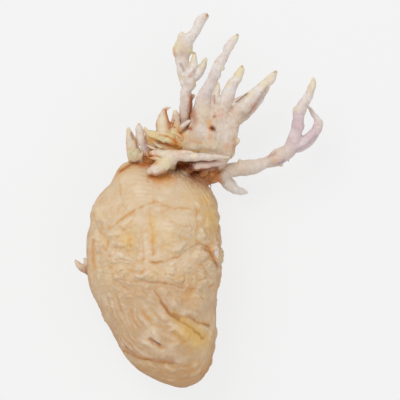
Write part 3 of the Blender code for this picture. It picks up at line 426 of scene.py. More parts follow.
# Tints of the sprouts, in the same way. A last number is the height below which a tint holds. Later tints lie
# over earlier ones.
SPROUT_TINTS = [
    # The long arm and the first fingers.
    (6.0, LILAC, 0.5, [(53.6, 46.0), (57.0, 51.0), (61.6, 51.6)]), (4.0, LILAC, 0.5, [(55.4, 57.0)]),
    (1.6, ROSE, 0.45, [(45.6, 41.4), (49.0, 41.4)]), (1.2, BARK, 0.6, [(47.6, 39.4), (45.0, 39.6)]),
    (2.4, CREAM, 0.7, [(61.4, 70.0), (62.0, 73.0)]), (1.2, CREAM, 0.7, [(23.4, 67.0), (23.8, 71.0)]),
    (0.4, BARK, 0.7, [(22.5, 66.4), (22.7, 63.4)]), (2.4, CREAM, 0.7, [(42.4, 71.0), (46.0, 75.0)]),
    (1.0, ROSE, 0.6, [(37.4, 62.6), (38.8, 60.8)]), (5.0, STEM, 0.6, [(30.0, 37.0), (42.0, 39.6)]),
    (3.4, STEM, 0.6, [(46.0, 41.0), (52.0, 44.6)]), (0.9, BARK, 0.45, [(44.6, 42.4), (46.6, 43.4)]),
    (0.6, MAUVE, 0.8, [(48.4, 39.4), (50.4, 40.4)]), (0.8, AMBER, 0.6, [(46.8, 40.8)]),
    (0.8, MAUVE, 0.55, [(55.4, 44.6), (59.6, 47.0), (63.4, 50.6)]),
    # The fingers, the tall sprout and the low horn.
    (0.6, BARK, 0.45, [(36.8, 59.6), (40.2, 65.0), (43.4, 69.8)]),
    (1.6, LEMON, 0.45, [(8.2, 88.0), (7.4, 84.6)]), (0.7, AMBER, 0.6, [(6.4, 85.0), (6.6, 82.0)]),
    (0.8, BARK, 0.4, [(12.6, 74.0), (14.6, 76.4)]), (2.4, STEM, 0.5, [(10.4, 58.0), (11.0, 70.0)]),
    (1.0, MAUVE, 0.25, [(10.0, 56.0), (10.4, 66.0)]),
    # Greyer and darker on the stem of the fan's first finger: partly its own lilac, partly painted shade.
    (2.4, MAUVE, 0.22, [(16.0, 61.0), (19.6, 68.0), (22.6, 75.0)]),
    (3.0, WHITE, 0.6, [(28.0, 32.0), (33.6, 28.6)]), (1.2, SHADE_AND_WITHER, 0.35, [(34.0, 59.0), (36.0, 58.6)]),
    (0.35, SHADE_AND_WITHER, 1.0, [(31.2, 63.8), (35.6, 67.2)]), (0.4, MAUVE, 0.9, [(41.2, 67.6)]),
    (1.6, CREAM, 0.7, [(13.6, 80.0), (14.0, 84.0)]), (1.6, CREAM, 0.7, [(17.4, 78.0), (18.6, 82.0)]),
    (0.7, BARK, 0.8, [(19.6, 98.4)]), (1.6, CREAM, 0.5, [(30.6, 89.0), (31.4, 90.4)]),
    (2.2, LEMON, 0.6, [(32.0, 75.0), (33.0, 78.0)]), (2.4, BEIGE, 0.6, [(9.6, 84.0), (10.0, 86.0)]),
    (0.6, SHADE_AND_WITHER, 0.6, [(9.2, 78.8), (10.4, 76.4)]),
    # The foot of the tall sprout and the palm, with painted shadow and shade between them and in the palm's
    # pits.
    # Painted shadow: brown along the tall sprout's right side, against the palm.
    (1.1, BARK, 0.95, [(13.4, 66.4), (13.2, 61.6), (13.0, 57.6)]), (1.5, BARK, 0.5, [(10.4, 56.4)]),
    # Painted shade: dark red in the gap between the tall sprout and the palm, below the twig.
    (0.8, RED, 0.9, [(12.2, 53.4), (13.2, 53.2)]), (0.9, WHITE, 0.8, [(9.8, 54.6), (13.4, 56.6)]),
    # Painted shade: maroon in the larger pit of the palm, and grey brown in the smaller one on the next line.
    (0.8, MAROON, 1.0, [(21.0, 53.4), (22.4, 52.9)]), (1.2, AMBER, 0.6, [(20.6, 55.0), (20.4, 53.0)]),
    (1.6, ROSE, 0.6, [(24.4, 58.6)]), (0.6, SHADE_AND_WITHER, 0.5, [(22.4, 58.0)]),
    (0.8, AMBER, 0.45, [(20.4, 56.4), (20.6, 51.0), (20.2, 46.0)]),
    # Painted shade: brown at the palm's left edge, beside the tall sprout.
    (1.2, BARK, 0.6, [(14.4, 60.0), (14.6, 55.6)]), (2.2, WHITE, 0.8, [(17.6, 52.4)]),
    (3.0, WHITE, 0.5, [(27.0, 54.0), (26.6, 49.0)]), (1.8, CREAM, 0.6, [(14.0, 46.6), (19.6, 46.4)]),
    (0.5, AMBER, 0.6, [(12.4, 48.8), (17.0, 47.4)]), (2.0, CREAM, 0.6, [(23.6, 46.4)]),
    (1.2, RUST, 0.4, [(30.2, 48.6), (30.4, 45.4)]), (1.2, AMBER, 0.6, [(27.4, 46.0)]),
    (2.6, CREAM, 0.5, [(18.4, 60.6)]), (0.5, YELLOW, 0.7, [(13.6, 44.4), (18.8, 44.4)]),
    # The bracts of the crown and the hooked sprout.
    (1.6, AMBER, 0.95, [(8.4, 52.0), (9.6, 50.0)]), (1.3, RUST, 0.85, [(7.0, 48.6), (7.4, 46.8)]),
    (2.6, LEMON, 0.75, [(-2.0, 50.4), (4.0, 49.0), (8.0, 47.4)]),
    (3.0, ORANGE, 0.35, [(4.6, 47.6), (8.6, 45.0)]), (1.1, RUST, 0.85, [(6.8, 48.4), (7.8, 46.0)]),
    (0.5, RUST, 1.0, [(0.8, 50.8), (4.0, 50.0), (6.4, 48.8), (7.2, 47.6)]),
    (1.6, CREAM, 0.6, [(-0.6, 47.0), (3.0, 45.6)]),
    (0.6, RUST, 1.0, [(0.8, 47.6), (3.6, 46.8), (7.2, 46.4)]), (0.8, SAGE, 0.8, [(1.0, 49.4), (4.0, 48.6)]),
    (1.7, OCHRE, 0.95, [(-3.8, 48.6), (-1.6, 48.4)]), (2.2, LEMON, 0.6, [(5.8, 52.0)]),
    (0.7, RUST, 1.0, [(3.0, 60.8), (4.0, 57.0), (4.5, 53.6)]), (1.5, AMBER, 0.9, [(5.6, 55.0)]),
    (1.6, CREAM, 0.8, [(1.6, 57.0), (1.4, 52.4)]), (0.5, OCHRE, 0.7, [(-0.6, 55.6), (-0.8, 52.0)]),
    # The three horns.
    (1.3, WHITE, 0.6, [(-7.4, 54.0), (-7.0, 46.6)]), (1.1, WHITE, 0.5, [(-11.2, 51.0), (-11.0, 47.0)]),
    (1.1, MAUVE, 0.6, [(-5.2, 48.4), (-4.6, 44.8)]), (0.5, BARK, 0.9, [(-10.6, 51.4), (-9.9, 49.0)]),
    (0.5, BARK, 0.9, [(-8.7, 48.8), (-8.3, 45.6)]), (2.2, SAGE, 0.7, [(-9.8, 43.4)]),
    (1.6, SAGE, 0.4, [(-10.8, 48.0)]),
    # The blunt bud with its painted shadow below it, and the dark gap and brown base under the front spear:
    # the dark gap is painted shade.
    (1.8, RUST, 1.0, [(-4.0, 41.4), (-4.0, 39.4)]), (1.3, RUST, 0.9, [(-2.0, 40.4), (-0.6, 39.6)]),
    (3.0, LEMON, 0.5, [(0.6, 41.0), (3.6, 38.6)]),
    # Painted shadow: rust just below the blunt bud.
    (0.7, RUST, 0.7, [(-2.8, 34.7), (0.6, 34.9), (3.0, 36.2)]), (1.0, ROSE, 0.5, [(-0.8, 43.2)]),
    (0.9, AMBER, 0.8, [(-3.4, 43.8), (-2.6, 41.0)]), (0.4, RUST, 0.8, [(-2.8, 42.6), (0.6, 42.0)]),
    (1.2, BARK, 0.8, [(-1.6, 45.6), (-0.4, 46.4)], 26), (1.6, OCHRE, 0.8, [(3.0, 44.8), (9.0, 44.6)], 26),
    # Painted shade: maroon and dark red in the gaps under and between the front spears, down to the heights
    # given.
    (1.8, MAROON, 1.0, [(8.0, 38.4), (12.0, 38.6)], 25.5),
    (0.8, MAROON, 0.9, [(9.0, 40.2), (16.0, 40.6), (22.0, 41.0)], 28.2),
    (1.2, MAROON, 1.0, [(13.6, 35.6), (24.0, 36.0)], 24.5),
    (1.4, BARK, 0.85, [(12.6, 36.2), (19.4, 36.0)], 27.5),
    (0.7, MAROON, 0.8, [(12.6, 37.2), (18.0, 36.9), (23.6, 38.0)], 27.5),
    (1.1, ROSE, 0.7, [(14.6, 38.4), (25.0, 39.4)]), (0.9, WHITE, 0.5, [(15.4, 38.6), (25.0, 39.5)]),
    (1.3, MAROON, 0.95, [(8.8, 38.0), (13.0, 38.4)], 28.6),
    (0.6, RED, 0.5, [(19.0, 40.2), (23.0, 40.4)], 28.2),
    (2.4, BARK, 0.8, [(13.6, 34.6), (20.0, 33.2), (22.6, 34.2)], 24),
    (1.5, RUST, 0.7, [(23.2, 34.6), (24.6, 32.6)]), (2.6, BROWN, 0.5, [(14.0, 33.6), (21.0, 34.0)]),
    (1.4, AMBER, 0.5, [(15.0, 34.2), (21.0, 34.6)]),
    # The side sprout.
    (4.0, BEIGE, 0.8, [(-30.0, -2.0)]), (1.0, CREAM, 0.5, [(-31.6, -1.4)]),
    (2.6, BROWN, 0.8, [(-26.0, -4.2), (-28.0, -4.4)]), (1.4, CREAM, 0.5, [(-28.0, 2.0)]),
    # Withered tips and specks.
    (0.5, SHADE_AND_WITHER, 0.8, [(31.5, 90.6)]), (0.5, BARK, 0.7, [(14.5, 83.4)]), (0.5, SHADE_AND_WITHER, 0.6, [(46.8, 75.9)]),
    (0.45, BARK, 0.7, [(33.4, 77.9)]), (0.4, MOSS, 0.7, [(-10.8, 43.2)]), (0.35, MOSS, 0.7, [(-9.6, 44.2)]),
    (0.35, MOSS, 0.6, [(-9.9, 42.2)]), (0.5, BROWN, 0.6, [(29.2, 41.7)]), (0.45, BARK, 0.6, [(-7.4, 54.8)]),
    *((0.34, DARK, 0.95, [place]) for place in SPECKS),
]


# Shapes

def smooth(low, high, value):
    """0 below low, 1 above high, and a smooth step between."""
    t = np.clip((np.asarray(value, float) - low) / (high - low), 0.0, 1.0)
    return t * t * (3 - 2 * t)


def through(points, shares):
    """The values at shares (0 to 1) of a smooth line through the points."""
    points = np.asarray(points, float)
    last = len(points) - 1
    where = np.clip(shares, 0.0, 1.0) * last
    i = np.minimum(where.astype(int), last - 1)
    t = (where - i)[:, None]
    longer = np.vstack([2 * points[0] - points[1], points, 2 * points[-1] - points[-2]])
    a, b, c, d = longer[i], longer[i + 1], longer[i + 2], longer[i + 3]
    square, cube = 2 * a - 5 * b + 4 * c - d, 3 * b - a - 3 * c + d
    return 0.5 * (2 * b + (c - a) * t + square * t ** 2 + cube * t ** 3)


def length_of(line):
    """The length of a line of points, whose fourth number is no coordinate."""
    return sum(math.dist(a[:3], b[:3]) for a, b in zip(line, line[1:]))


def sampled(function, points):
    """A function of one point, taken at each of the points."""
    return np.array([function(Vector(p)) for p in points])


def clouds(points, scale, offset, octaves):
    """Soft noise at each of the points, about -1 to 1."""
    shift = Vector(offset)
    return sampled(lambda p: noise.fractal(p * scale + shift, 1.0, 2.0, octaves), points)


def outline_radius(angles):
    """The radius of the tuber's outline at these angles about its middle."""
    closed = [OUTLINE[-1], *OUTLINE, OUTLINE[0], OUTLINE[1]]
    line = through(closed, np.linspace(0, 1, 24 * len(closed)))
    offset = line - CENTRE[:2]
    found = np.arctan2(offset[:, 1], offset[:, 0])
    order = np.argsort(found)
    return np.interp(angles, found[order], np.hypot(*offset[order].T), period=2 * math.pi)


def line_distance(x, y, line):
    """The distance of each point, seen from above, from a line of points."""
    best = np.full(x.shape, 1e9)
    for (ax, ay), (bx, by) in zip(line, line[1:]):
        dx, dy = bx - ax, by - ay
        t = np.clip(((x - ax) * dx + (y - ay) * dy) / max(dx * dx + dy * dy, 1e-9), 0.0, 1.0)
        best = np.minimum(best, np.hypot(ax + t * dx - x, ay + t * dy - y))
    return best


def pillows(p, cell, offset):
    """Puffed cells with narrow valleys between them: 0 in a valley, 1 on a pillow."""
    near = noise.voronoi(p / cell + Vector(offset))[0]
    return min((near[1] - near[0]) / 0.42, 1.0) ** 0.6


def folds(p):
    """Height of the skin's own folds at a point, as in the solid."""
    warp = noise.noise_vector(p * 0.06) * 4.5 + noise.noise_vector(p * 0.17) * 1.6
    q = p + warp
    wide = Vector((q.x * 0.72, q.y, q.z))
    long = Vector((q.x + 0.35 * q.y, 0.42 * (q.y - 0.35 * q.x), q.z))
    mix = float(smooth(-12.0, -26.0, p.y + 0.5 * p.x) * smooth(4.0, -4.0, p.x))
    big = pillows(wide.lerp(long, mix), 8.0, (0.3, 0.6, 0.1))
    small = pillows(q, 4.6, (5.1, 2.2, 7.7))
    broad = noise.noise(p * 0.04 + Vector((3.1, 8.2, 5.5)))
    return 1.4 * (big - 0.75) + 0.4 * (small - 0.7) + 1.2 * broad


def net(p):
    """A broken net of thin creases: the distance from the nearest line, and how strong it is here."""
    q = p + noise.noise_vector(p * 0.12) * 2.6 + noise.noise_vector(p * 0.4) * 0.7
    near = noise.voronoi(Vector((q.x * 0.15, q.y * 0.215, q.z * 0.17)) + Vector((1.7, 4.4, 2.9)))[0]
    strength = 0.35 + 1.5 * noise.noise(p * 0.15 + Vector((7.0, 3.0, 1.0)))
    return (near[1] - near[0]) * 5.2, min(max(strength, 0.0), 1.0)


def wrinkles(p):
    """Short broken wrinkles across the tuber: 1 in a wrinkle and 0 between."""
    q = Vector((p.x * 0.15, p.y * 0.40, p.z * 0.28)) + noise.noise_vector(p * 0.35) * 0.22
    value = noise.noise(q + Vector((2.0, 8.0, 4.0)))
    strength = 0.5 + 1.6 * noise.noise(p * 0.22 + Vector((6.0, 1.0, 3.0)))
    return math.exp(-((value / 0.15) ** 2)) * min(max(strength, 0.0), 1.0)


def quilt(p):
    """Small puffed cells, wider than tall: 0 in the valleys between and 1 on a cell."""
    q = p + noise.noise_vector(p * 0.3) * 1.2
    near = noise.voronoi(Vector((q.x * 0.25, q.y * 0.44, q.z * 0.34)) + Vector((4.0, 1.0, 6.0)))[0]
    return min((near[1] - near[0]) / 0.45, 1.0) ** 0.6


def grain(p):
    """Height of the skin's fine unevenness."""
    soft = noise.noise(p * 0.55 + Vector((2.0, 9.0, 4.0)))
    return 0.10 * soft + 0.05 * noise.noise(p * 1.3)


def ridges(points, inward, spacing, offset):
    """Ridges that follow the tuber's edge: their height and the share of each point that lies between two."""
    shift = Vector((offset, 2.0, 5.0))
    phase = 1.1 * sampled(lambda p: noise.noise(p * 0.07 + shift), points)
    phase += 0.35 * sampled(lambda p: noise.noise(p * 0.22 + shift), points)
    strength = np.clip(0.45 + 1.5 * sampled(lambda p: noise.noise(p * 0.11 - shift), points), 0.0, 1.0)
    wave = np.abs(np.sin(math.pi * (inward / spacing + phase)))
    valley = np.exp(-((wave * spacing / math.pi / 0.34) ** 2))
    return strength * (wave ** 0.8 - 0.7), strength * valley


def crown_height(points, normals):
    """How far the crown's swellings stand out of the smooth body, along its normal."""
    height = np.zeros(len(points))
    for middle, radius in CROWN:
        away = points - np.array(middle)
        along = (away * normals).sum(1)
        inside = along ** 2 - (away ** 2).sum(1) + radius ** 2
        out = -along + np.sqrt(np.maximum(inside, 0.0))
        height = np.maximum(height, np.where(inside > 0, out, 0.0))
    return height


def blurred(grid, passes):
    """A grid of heights, smoothed: its columns wrap round."""
    for _ in range(passes):
        grid = (2 * grid + np.roll(grid, 1, 1) + np.roll(grid, -1, 1)) / 4
        padded = np.pad(grid, ((1, 1), (0, 0)), mode="edge")
        grid = (2 * grid + padded[:-2] + padded[2:]) / 4
    return grid


def grid_normals(points):
    """The outward normals of a grid of points whose columns wrap round."""
    around = np.roll(points, -1, 1) - np.roll(points, 1, 1)
    along = np.gradient(points, axis=0)
    normals = np.cross(along, around)
    normals /= np.maximum(np.linalg.norm(normals, axis=2, keepdims=True), 1e-9)
    outward = ((points - CENTRE) * normals).sum()
    return normals * (1.0 if outward > 0 else -1.0)


def smooth_body():
    """The grid of points of the tuber without its relief."""
    t = np.arange(1, ROWS) / ROWS
    polar = math.pi * t + MIDDLE_SHARE * np.sin(2 * math.pi * t)
    turn = 2 * math.pi * np.arange(COLUMNS) / COLUMNS
    turn = turn - UPPER_SHARE * np.sin(turn)
    dx = np.sin(polar)[:, None] * np.sin(turn)
    dz = np.sin(polar)[:, None] * np.cos(turn)
    dy = np.repeat(-np.cos(polar)[:, None], COLUMNS, axis=1)
    angle = np.arctan2(dy, dx)
    reach = outline_radius(angle.ravel()).reshape(angle.shape) * np.hypot(dx, dy)
    thick = np.where(dz > 0, UPPER_THICKNESS, LOWER_THICKNESS)
    level = thick * dz * (1.0 - TAPER * np.maximum(-dy, 0.0))
    return CENTRE + np.stack([reach * np.cos(angle), reach * np.sin(angle), level], axis=2)


def soft_relief(p, ux, uy):
    """Height of the skin's folds, cells, wrinkles and ridges, and how far each point lies in a hollow."""
    x, y, z = p.T
    away = np.hypot(x - CENTRE[0], y - CENTRE[1])
    inward = np.hypot(outline_radius(np.arctan2(y - CENTRE[1], x - CENTRE[0])) - away, z)
    tip = smooth(0.5, 5.0, np.hypot(x - CENTRE[0], z))
    low = smooth(-9.0, -17.0, uy + 0.35 * ux) * tip
    calm = (1.0 - 0.75 * smooth(16.0, 30.0, y)) * tip
    for (cx, cy), reach, share in CALM:
        calm = calm * (1.0 - share * np.exp(-(((ux - cx) ** 2 + (uy - cy) ** 2) / reach ** 2)))
    height = sampled(folds, p) * calm * (1.0 - 0.72 * low) + sampled(grain, p)

    gap, strength = sampled(net, p).T
    strength = 0.75 * strength * (0.25 + 0.75 * calm) * (1.0 - 0.8 * low)
    line = strength * np.exp(-((gap / 0.5) ** 2))
    height += strength * NET_RISE * (np.minimum(gap / 2.4, 1.0) ** 0.6 - 0.7) - NET_DEPTH * line
    short = sampled(wrinkles, p) * (1.0 - 0.6 * low) * (0.3 + 0.7 * smooth(32.0, 22.0, y)) * tip
    hollow = np.maximum(0.55 * line, 0.6 * short)
    cells = sampled(quilt, p)
    band = smooth(-26.0, -14.0, uy) * smooth(18.0, 6.0, uy) * (0.3 + 0.7 * calm) * tip
    height += CELL_RISE * band * (cells - 0.75)
    hollow = np.maximum(hollow, 0.42 * band * smooth(0.55, 0.2, cells))

    soft = smooth(2.0, 9.0, ux) * smooth(-42.0, -36.0, uy)
    for weight, spacing, rise, offset in (
            (low * (1.0 - 0.7 * soft), 3.0, 0.80, 3.0),
            (smooth(-33.0, -40.0, uy) * tip, 1.9, 0.46, 31.0),
            (smooth(7.0, 16.0, x) * smooth(4.0, 13.0, y), 1.6, 0.55, 11.0),
            (smooth(18.0, 27.0, y) * smooth(14.0, 6.0, x), 2.0, 0.42, 23.0)):
        wave, valley = ridges(p, inward, spacing, offset)
        height += weight * rise * wave
        hollow = np.maximum(hollow, weight * min(1.4 * rise, 0.65) * valley)
    return blurred(height.reshape(-1, COLUMNS), 1).ravel() - WRINKLE_DEPTH * short, hollow


def tuber_relief(points, normals):
    """Height of the skin over the smooth body, and how far each point lies in a crease and in a deep one."""
    p, up = points.reshape(-1, 3), normals.reshape(-1, 3)[:, 2]
    ux = np.where(up > 0, p[:, 0], TURNED[0] - p[:, 0])
    uy = np.where(up > 0, p[:, 1], TURNED[1] - p[:, 1])
    height, crease = soft_relief(p, ux, uy)

    wander = sampled(lambda q: noise.noise_vector(q * 0.14) * 0.8 + noise.noise_vector(q * 0.5) * 0.5, p)
    side = smooth(0.05, 0.40, np.abs(up))
    uneven = sampled(lambda q: noise.noise(q * 0.2 + Vector((5.0, 5.0, 1.0))) + 0.5 * noise.noise(q * 0.6), p)
    faded = side * np.clip(0.8 + 1.2 * uneven, 0.2, 1.25)
    broken = side * np.clip(0.45 + 1.6 * uneven, 0.0, 1.0)
    deep = np.zeros(len(p))
    for half, depth, line in CREASES:
        d = line_distance(ux + wander[:, 0], uy + wander[:, 1], line)
        shoulder = SHOULDER_RISE * np.exp(-((d / half - 1.9) ** 2))
        valley = 0.55 * np.exp(-((d / half) ** 2)) + 0.45 * np.exp(-d / 0.45)
        height += faded * CREASE_DEPTH * depth * (shoulder - valley)
        crease = np.maximum(crease, faded * min(0.3 + depth / 3.2, 1.0) * np.exp(-((d / 0.42) ** 2)))
        deep = np.maximum(deep, side * smooth(1.4, 2.6, depth) * np.exp(-((d / 0.36) ** 2)))
    for depth, line in FINE_CREASES:
        d = line_distance(ux + 2.0 * wander[:, 0], uy + 2.0 * wander[:, 1], line)
        shoulder = 0.25 * np.exp(-((d / FINE_HALF_WIDTH - 1.9) ** 2))
        height += FINE_DEPTH * broken * depth * (shoulder - np.exp(-((d / FINE_HALF_WIDTH) ** 2)))
        crease = np.maximum(crease, 0.5 * broken * np.exp(-((d / 0.42) ** 2)))
    for (cx, cy), radius, rise in LUMPS:
        height += side * rise * np.exp(-(((ux - cx) ** 2 + (uy - cy) ** 2) / radius ** 2))
    return height.reshape(points.shape[:2]), crease, deep


# Meshes

def object_from(name, points, faces):
    """A named object in the scene from points in millimetres."""
    mesh = bpy.data.meshes.new(name)
    mesh.from_pydata((np.asarray(points) * MM).tolist(), [], faces)
    mesh.update()
    mesh.shade_smooth()
    obj = bpy.data.objects.new(name, mesh)
    bpy.context.scene.collection.objects.link(obj)
    return obj


def grid_faces(rows, columns):
    """The faces of a grid of points whose columns wrap round."""
    faces = []
    for row in range(rows):
        for column in range(columns):
            a = row * columns + column
            b = row * columns + (column + 1) % columns
            faces.append((a, b, b + columns, a + columns))
    return faces


def joined(parts):
    """The points and faces of several meshes as one."""
    points, faces, start = [], [], 0
    for part_points, part_faces in parts:
        faces += [tuple(i + start for i in face) for face in part_faces]
        points.append(part_points)
        start += len(part_points)
    return np.vstack(points), faces


def set_layers(mesh, tint):
    """Stores the colour at each point, and how much it shines: dark places are dull."""
    layer = mesh.attributes.new("tint", "FLOAT_COLOR", "POINT")
    layer.data.foreach_set("color", np.column_stack([tint, np.ones(len(tint))]).astype(np.float32).ravel())
    layer = mesh.attributes.new("shine", "FLOAT", "POINT")
    layer.data.foreach_set("value", smooth(0.05, 0.45, tint[:, 1]).astype(np.float32))


def blended(colours, steps):
    """The colours with other ones mixed in, each by its share at each point."""
    for colour, share in steps:
        colours = colours + (colour - colours) * share[:, None]
    return colours


def tinted(colours, points, tints, share=1.0):
    """The colours with each listed tint mixed in, by its distance seen from above and times share."""
    ragged = 1.0 + 0.5 * sampled(lambda p: noise.noise(p * 0.9) + 0.5 * noise.noise(p * 2.2), points)
    for reach, colour, strength, line, *limit in tints:
        distance = line_distance(points[:, 0], points[:, 1], line if len(line) > 1 else line * 2)
        near = share * strength * np.exp(-((distance * ragged / reach) ** 2))
        if limit:
            near = near * (points[:, 2] < limit[0])
        colours = colours + (colour - colours) * near[:, None]
    return colours


def tuber_colours(points, up, wide, narrow, crease, deep, crown):
    """The skin's colour at each point, from how far it lies in wide and narrow hollows and in creases, with
    painted highlight and shade.
    """
    y = points[:, 1]
    # Darker towards the tapered end: partly the skin's own tone, partly painted shade.
    low = smooth(4.0, -34.0, y)[:, None]
    rosy = smooth(0.0, 0.5, clouds(points, 0.16, (4.0, 1.0, 7.0), 2))
    olive = smooth(0.0, 0.5, clouds(points, 0.13, (8.0, 6.0, 2.0), 2))
    speckle = sampled(lambda p: noise.noise(p * 0.9) + 0.6 * noise.noise(p * 2.0), points)
    colours = blended(TAN * (1 - low) + TAN_LOW * low, [
        (PALE, 0.4 * rosy),
        (YELLOW, 0.22 * olive),
        # Paler on the crests of the folds, broad and narrow: partly the skin's own colour, partly painted
        # highlight.
        (PALE, 0.45 * smooth(0.05, 0.6, -wide)),
        (PALE, 0.12 * smooth(0.02, 0.14, -narrow)),
        # Painted shade: darker still at the tapered tip.
        (LOWEST_SHADE, 0.7 * smooth(-36.0, -51.0, y)),
        # Ochre and brown in the broad hollows: partly the skin's own colour, partly painted shade.
        (OCHRE, 0.35 * smooth(0.1, 0.8, wide)),
        (BROWN, 0.25 * smooth(0.7, 1.6, wide)),
        (BROWN, 0.75 * smooth(0.3, 2.0, crown)),
        (AMBER, 0.5 * smooth(0.3, 1.5, crown) * smooth(0.1, 0.5, speckle)),
        (DARK, 0.6 * smooth(0.3, 1.5, crown) * smooth(-0.1, -0.5, speckle)),
    ])

    # A tint would run down upright skin in a band, so it fades there, but not under the sprouts.
    level = np.maximum(smooth(0.06, 0.35, np.abs(up)), smooth(27.0, 32.0, y))
    colours = tinted(colours, points, SKIN_TINTS, level)

    # Painted shade: browner where the upper skin slopes down to the edge, more so towards the tapered end.
    side_shade = smooth(0.5, 0.25, up) * smooth(0.0, 0.2, up)
    patchy = sampled(lambda p: noise.noise(p * 0.35 + Vector((3.0, 3.0, 8.0))), points)
    patchy = np.clip(0.6 + 1.2 * patchy, 0.2, 1.0)
    # Orange and brown in narrow hollows and creases: partly the skin's own colour, partly painted shade. The
    # dark line in the deepest creases is painted shade.
    colours = blended(colours, [
        (ORANGE, 0.34 * smooth(0.05, 0.28, narrow)),
        (ORANGE, 0.38 * crease * patchy),
        (BROWN, 0.26 * crease ** 2 * patchy),
        (BROWN, (0.26 + 0.24 * smooth(-30.0, -42.0, y)) * side_shade * patchy),
        (DARK, 0.7 * deep * (0.4 + 0.6 * patchy)),
    ])
    return np.clip(colours, 0.0, 1.0)


def make_tuber(finish):
    """The wrinkled body, with its crown."""
    body = smooth_body()
    normals = grid_normals(body)
    height, crease, deep = tuber_relief(body, normals)
    flat_body, flat_normals = body.reshape(-1, 3), normals.reshape(-1, 3)
    crown = crown_height(flat_body, flat_normals)
    rough = sampled(lambda p: abs(noise.noise(p * 0.9)) + 0.5 * abs(noise.noise(p * 2.1)), flat_body)
    swollen = np.maximum(height.ravel(), crown + CROWN_ROUGHNESS * smooth(0.2, 1.5, crown) * (rough - 0.4))
    place = flat_body + flat_normals * swollen[:, None]
    spot = np.hypot(place[:, 0] / REST_RADIUS[0], place[:, 1] / REST_RADIUS[1])
    under = (place[:, 2] < 0) & (spot < 1.0)
    place[:, 2] = np.where(under, -REST_DEPTH, np.maximum(place[:, 2], -REST_DEPTH)) + REST_DEPTH
    points = np.vstack([place, place[:COLUMNS].mean(0), place[-COLUMNS:].mean(0)])
    faces = grid_faces(ROWS - 2, COLUMNS)
    first, last = len(place), len(place) + 1
    top = (ROWS - 2) * COLUMNS
    for column in range(COLUMNS):
        after = (column + 1) % COLUMNS
        faces.append((first, after, column))
        faces.append((last, top + column, top + after))
    obj = object_from("tuber_fine", points, faces)
    wide = (blurred(height, WIDE_BLUR) - height).ravel()
    narrow = (blurred(height, NARROW_BLUR) - height).ravel()
    up = flat_normals[:, 2]
    shares = [np.append(share, (0.0, 0.0)) for share in (up, wide, narrow, crease, deep, crown)]
    set_layers(obj.data, tuber_colours(points, *shares))
    obj.data.materials.append(finish)
    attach(obj, "root")
    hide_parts("tuber")
    return obj


def tube(line, flat):
    """Points and faces of a knobbly closed stem along a line of (x, y, z, radius)."""
    thickest = max(point[3] for point in line)
    sides = max(12, round(math.tau * thickest / STEP))
    count = max(6, round(length_of(line) / STEP))
    rows = through(line, np.linspace(0, 1, count + 1))
    places, radii = rows[:, :3], rows[:, 3]
    ahead = np.gradient(places, axis=0)
    ahead /= np.linalg.norm(ahead, axis=1, keepdims=True)
    level = np.cross(ahead, (0.0, 0.0, 1.0))
    size = np.linalg.norm(level, axis=1, keepdims=True)
    level = np.where(size > 0.05, level / np.maximum(size, 1e-6), (1.0, 0.0, 0.0))
    upright = np.cross(level, ahead)
    upright *= flat / np.maximum(np.linalg.norm(upright, axis=1, keepdims=True), 1e-6)
    angles = math.tau * np.arange(sides) / sides
    out = level[:, None] * np.cos(angles)[None, :, None] + upright[:, None] * np.sin(angles)[None, :, None]
    near = (places[:, None] + out * 1.2).reshape(-1, 3)
    slim = np.minimum(1.0, 1.7 / np.maximum(radii, 0.1))[:, None]
    swell = sampled(lambda p: noise.noise(p * 0.42), near).reshape(len(places), sides)
    knob = 1.0 + KNOB_SHARE * slim * swell
    rings = [places[:, None] + out * (radii[:, None] * knob)[:, :, None]]
    for k, way in ((0, -1.0), (count, 1.0)):
        caps = []
        for bend in (0.4, 0.8, 1.15, 1.45):
            middle = places[k] + way * ahead[k] * radii[k] * 0.8 * math.sin(bend)
            caps.append(middle + out[k] * (radii[k] * knob[k] * math.cos(bend))[:, None])
        caps = np.array(caps)
        rings = [caps[::-1], *rings] if way < 0 else [*rings, caps]
    rings = np.concatenate(rings)
    last = len(rings) - 1
    faces = grid_faces(last, sides)
    faces.append(tuple(range(sides))[::-1])
    faces.append(tuple(last * sides + side for side in range(sides)))
    return rings.reshape(-1, 3), faces


def skeleton(stems):
    """Points along the stems: place, radius and distance to the stem's tip."""
    rows = []
    for line in stems:
        length = length_of(line)
        shares = np.linspace(0, 1, max(6, round(length / STEP)))
        for row, share in zip(through(line, shares), shares):
            rows.append((*row, (1.0 - share) * length))
    return np.array(rows)


def neighbours_mean(points, edges, counts):
    """The mean of each point's neighbours."""
    total = np.zeros_like(points)
    for axis in range(points.shape[1]):
        total[:, axis] = np.bincount(edges[:, 0], points[edges[:, 1], axis], len(points))
        total[:, axis] += np.bincount(edges[:, 1], points[edges[:, 0], axis], len(points))
    return total / counts[:, None]


def mesh_arrays(mesh):
    """The mesh's points, normals, edges and each point's number of edges."""
    points = np.empty(len(mesh.vertices) * 3)
    mesh.vertices.foreach_get("co", points)
    normals = np.empty(len(mesh.vertices) * 3)
    mesh.vertices.foreach_get("normal", normals)
    edges = np.empty(len(mesh.edges) * 2, int)
    mesh.edges.foreach_get("vertices", edges)
    edges = edges.reshape(-1, 2)
    counts = np.bincount(edges.ravel(), minlength=len(mesh.vertices))
    return points.reshape(-1, 3), normals.reshape(-1, 3), edges, counts


def relaxed(points, edges, counts, passes, amount=0.5):
    """The points drawn towards their neighbours."""
    for _ in range(passes):
        points = points + amount * (neighbours_mean(points, edges, counts) - points)
    return points


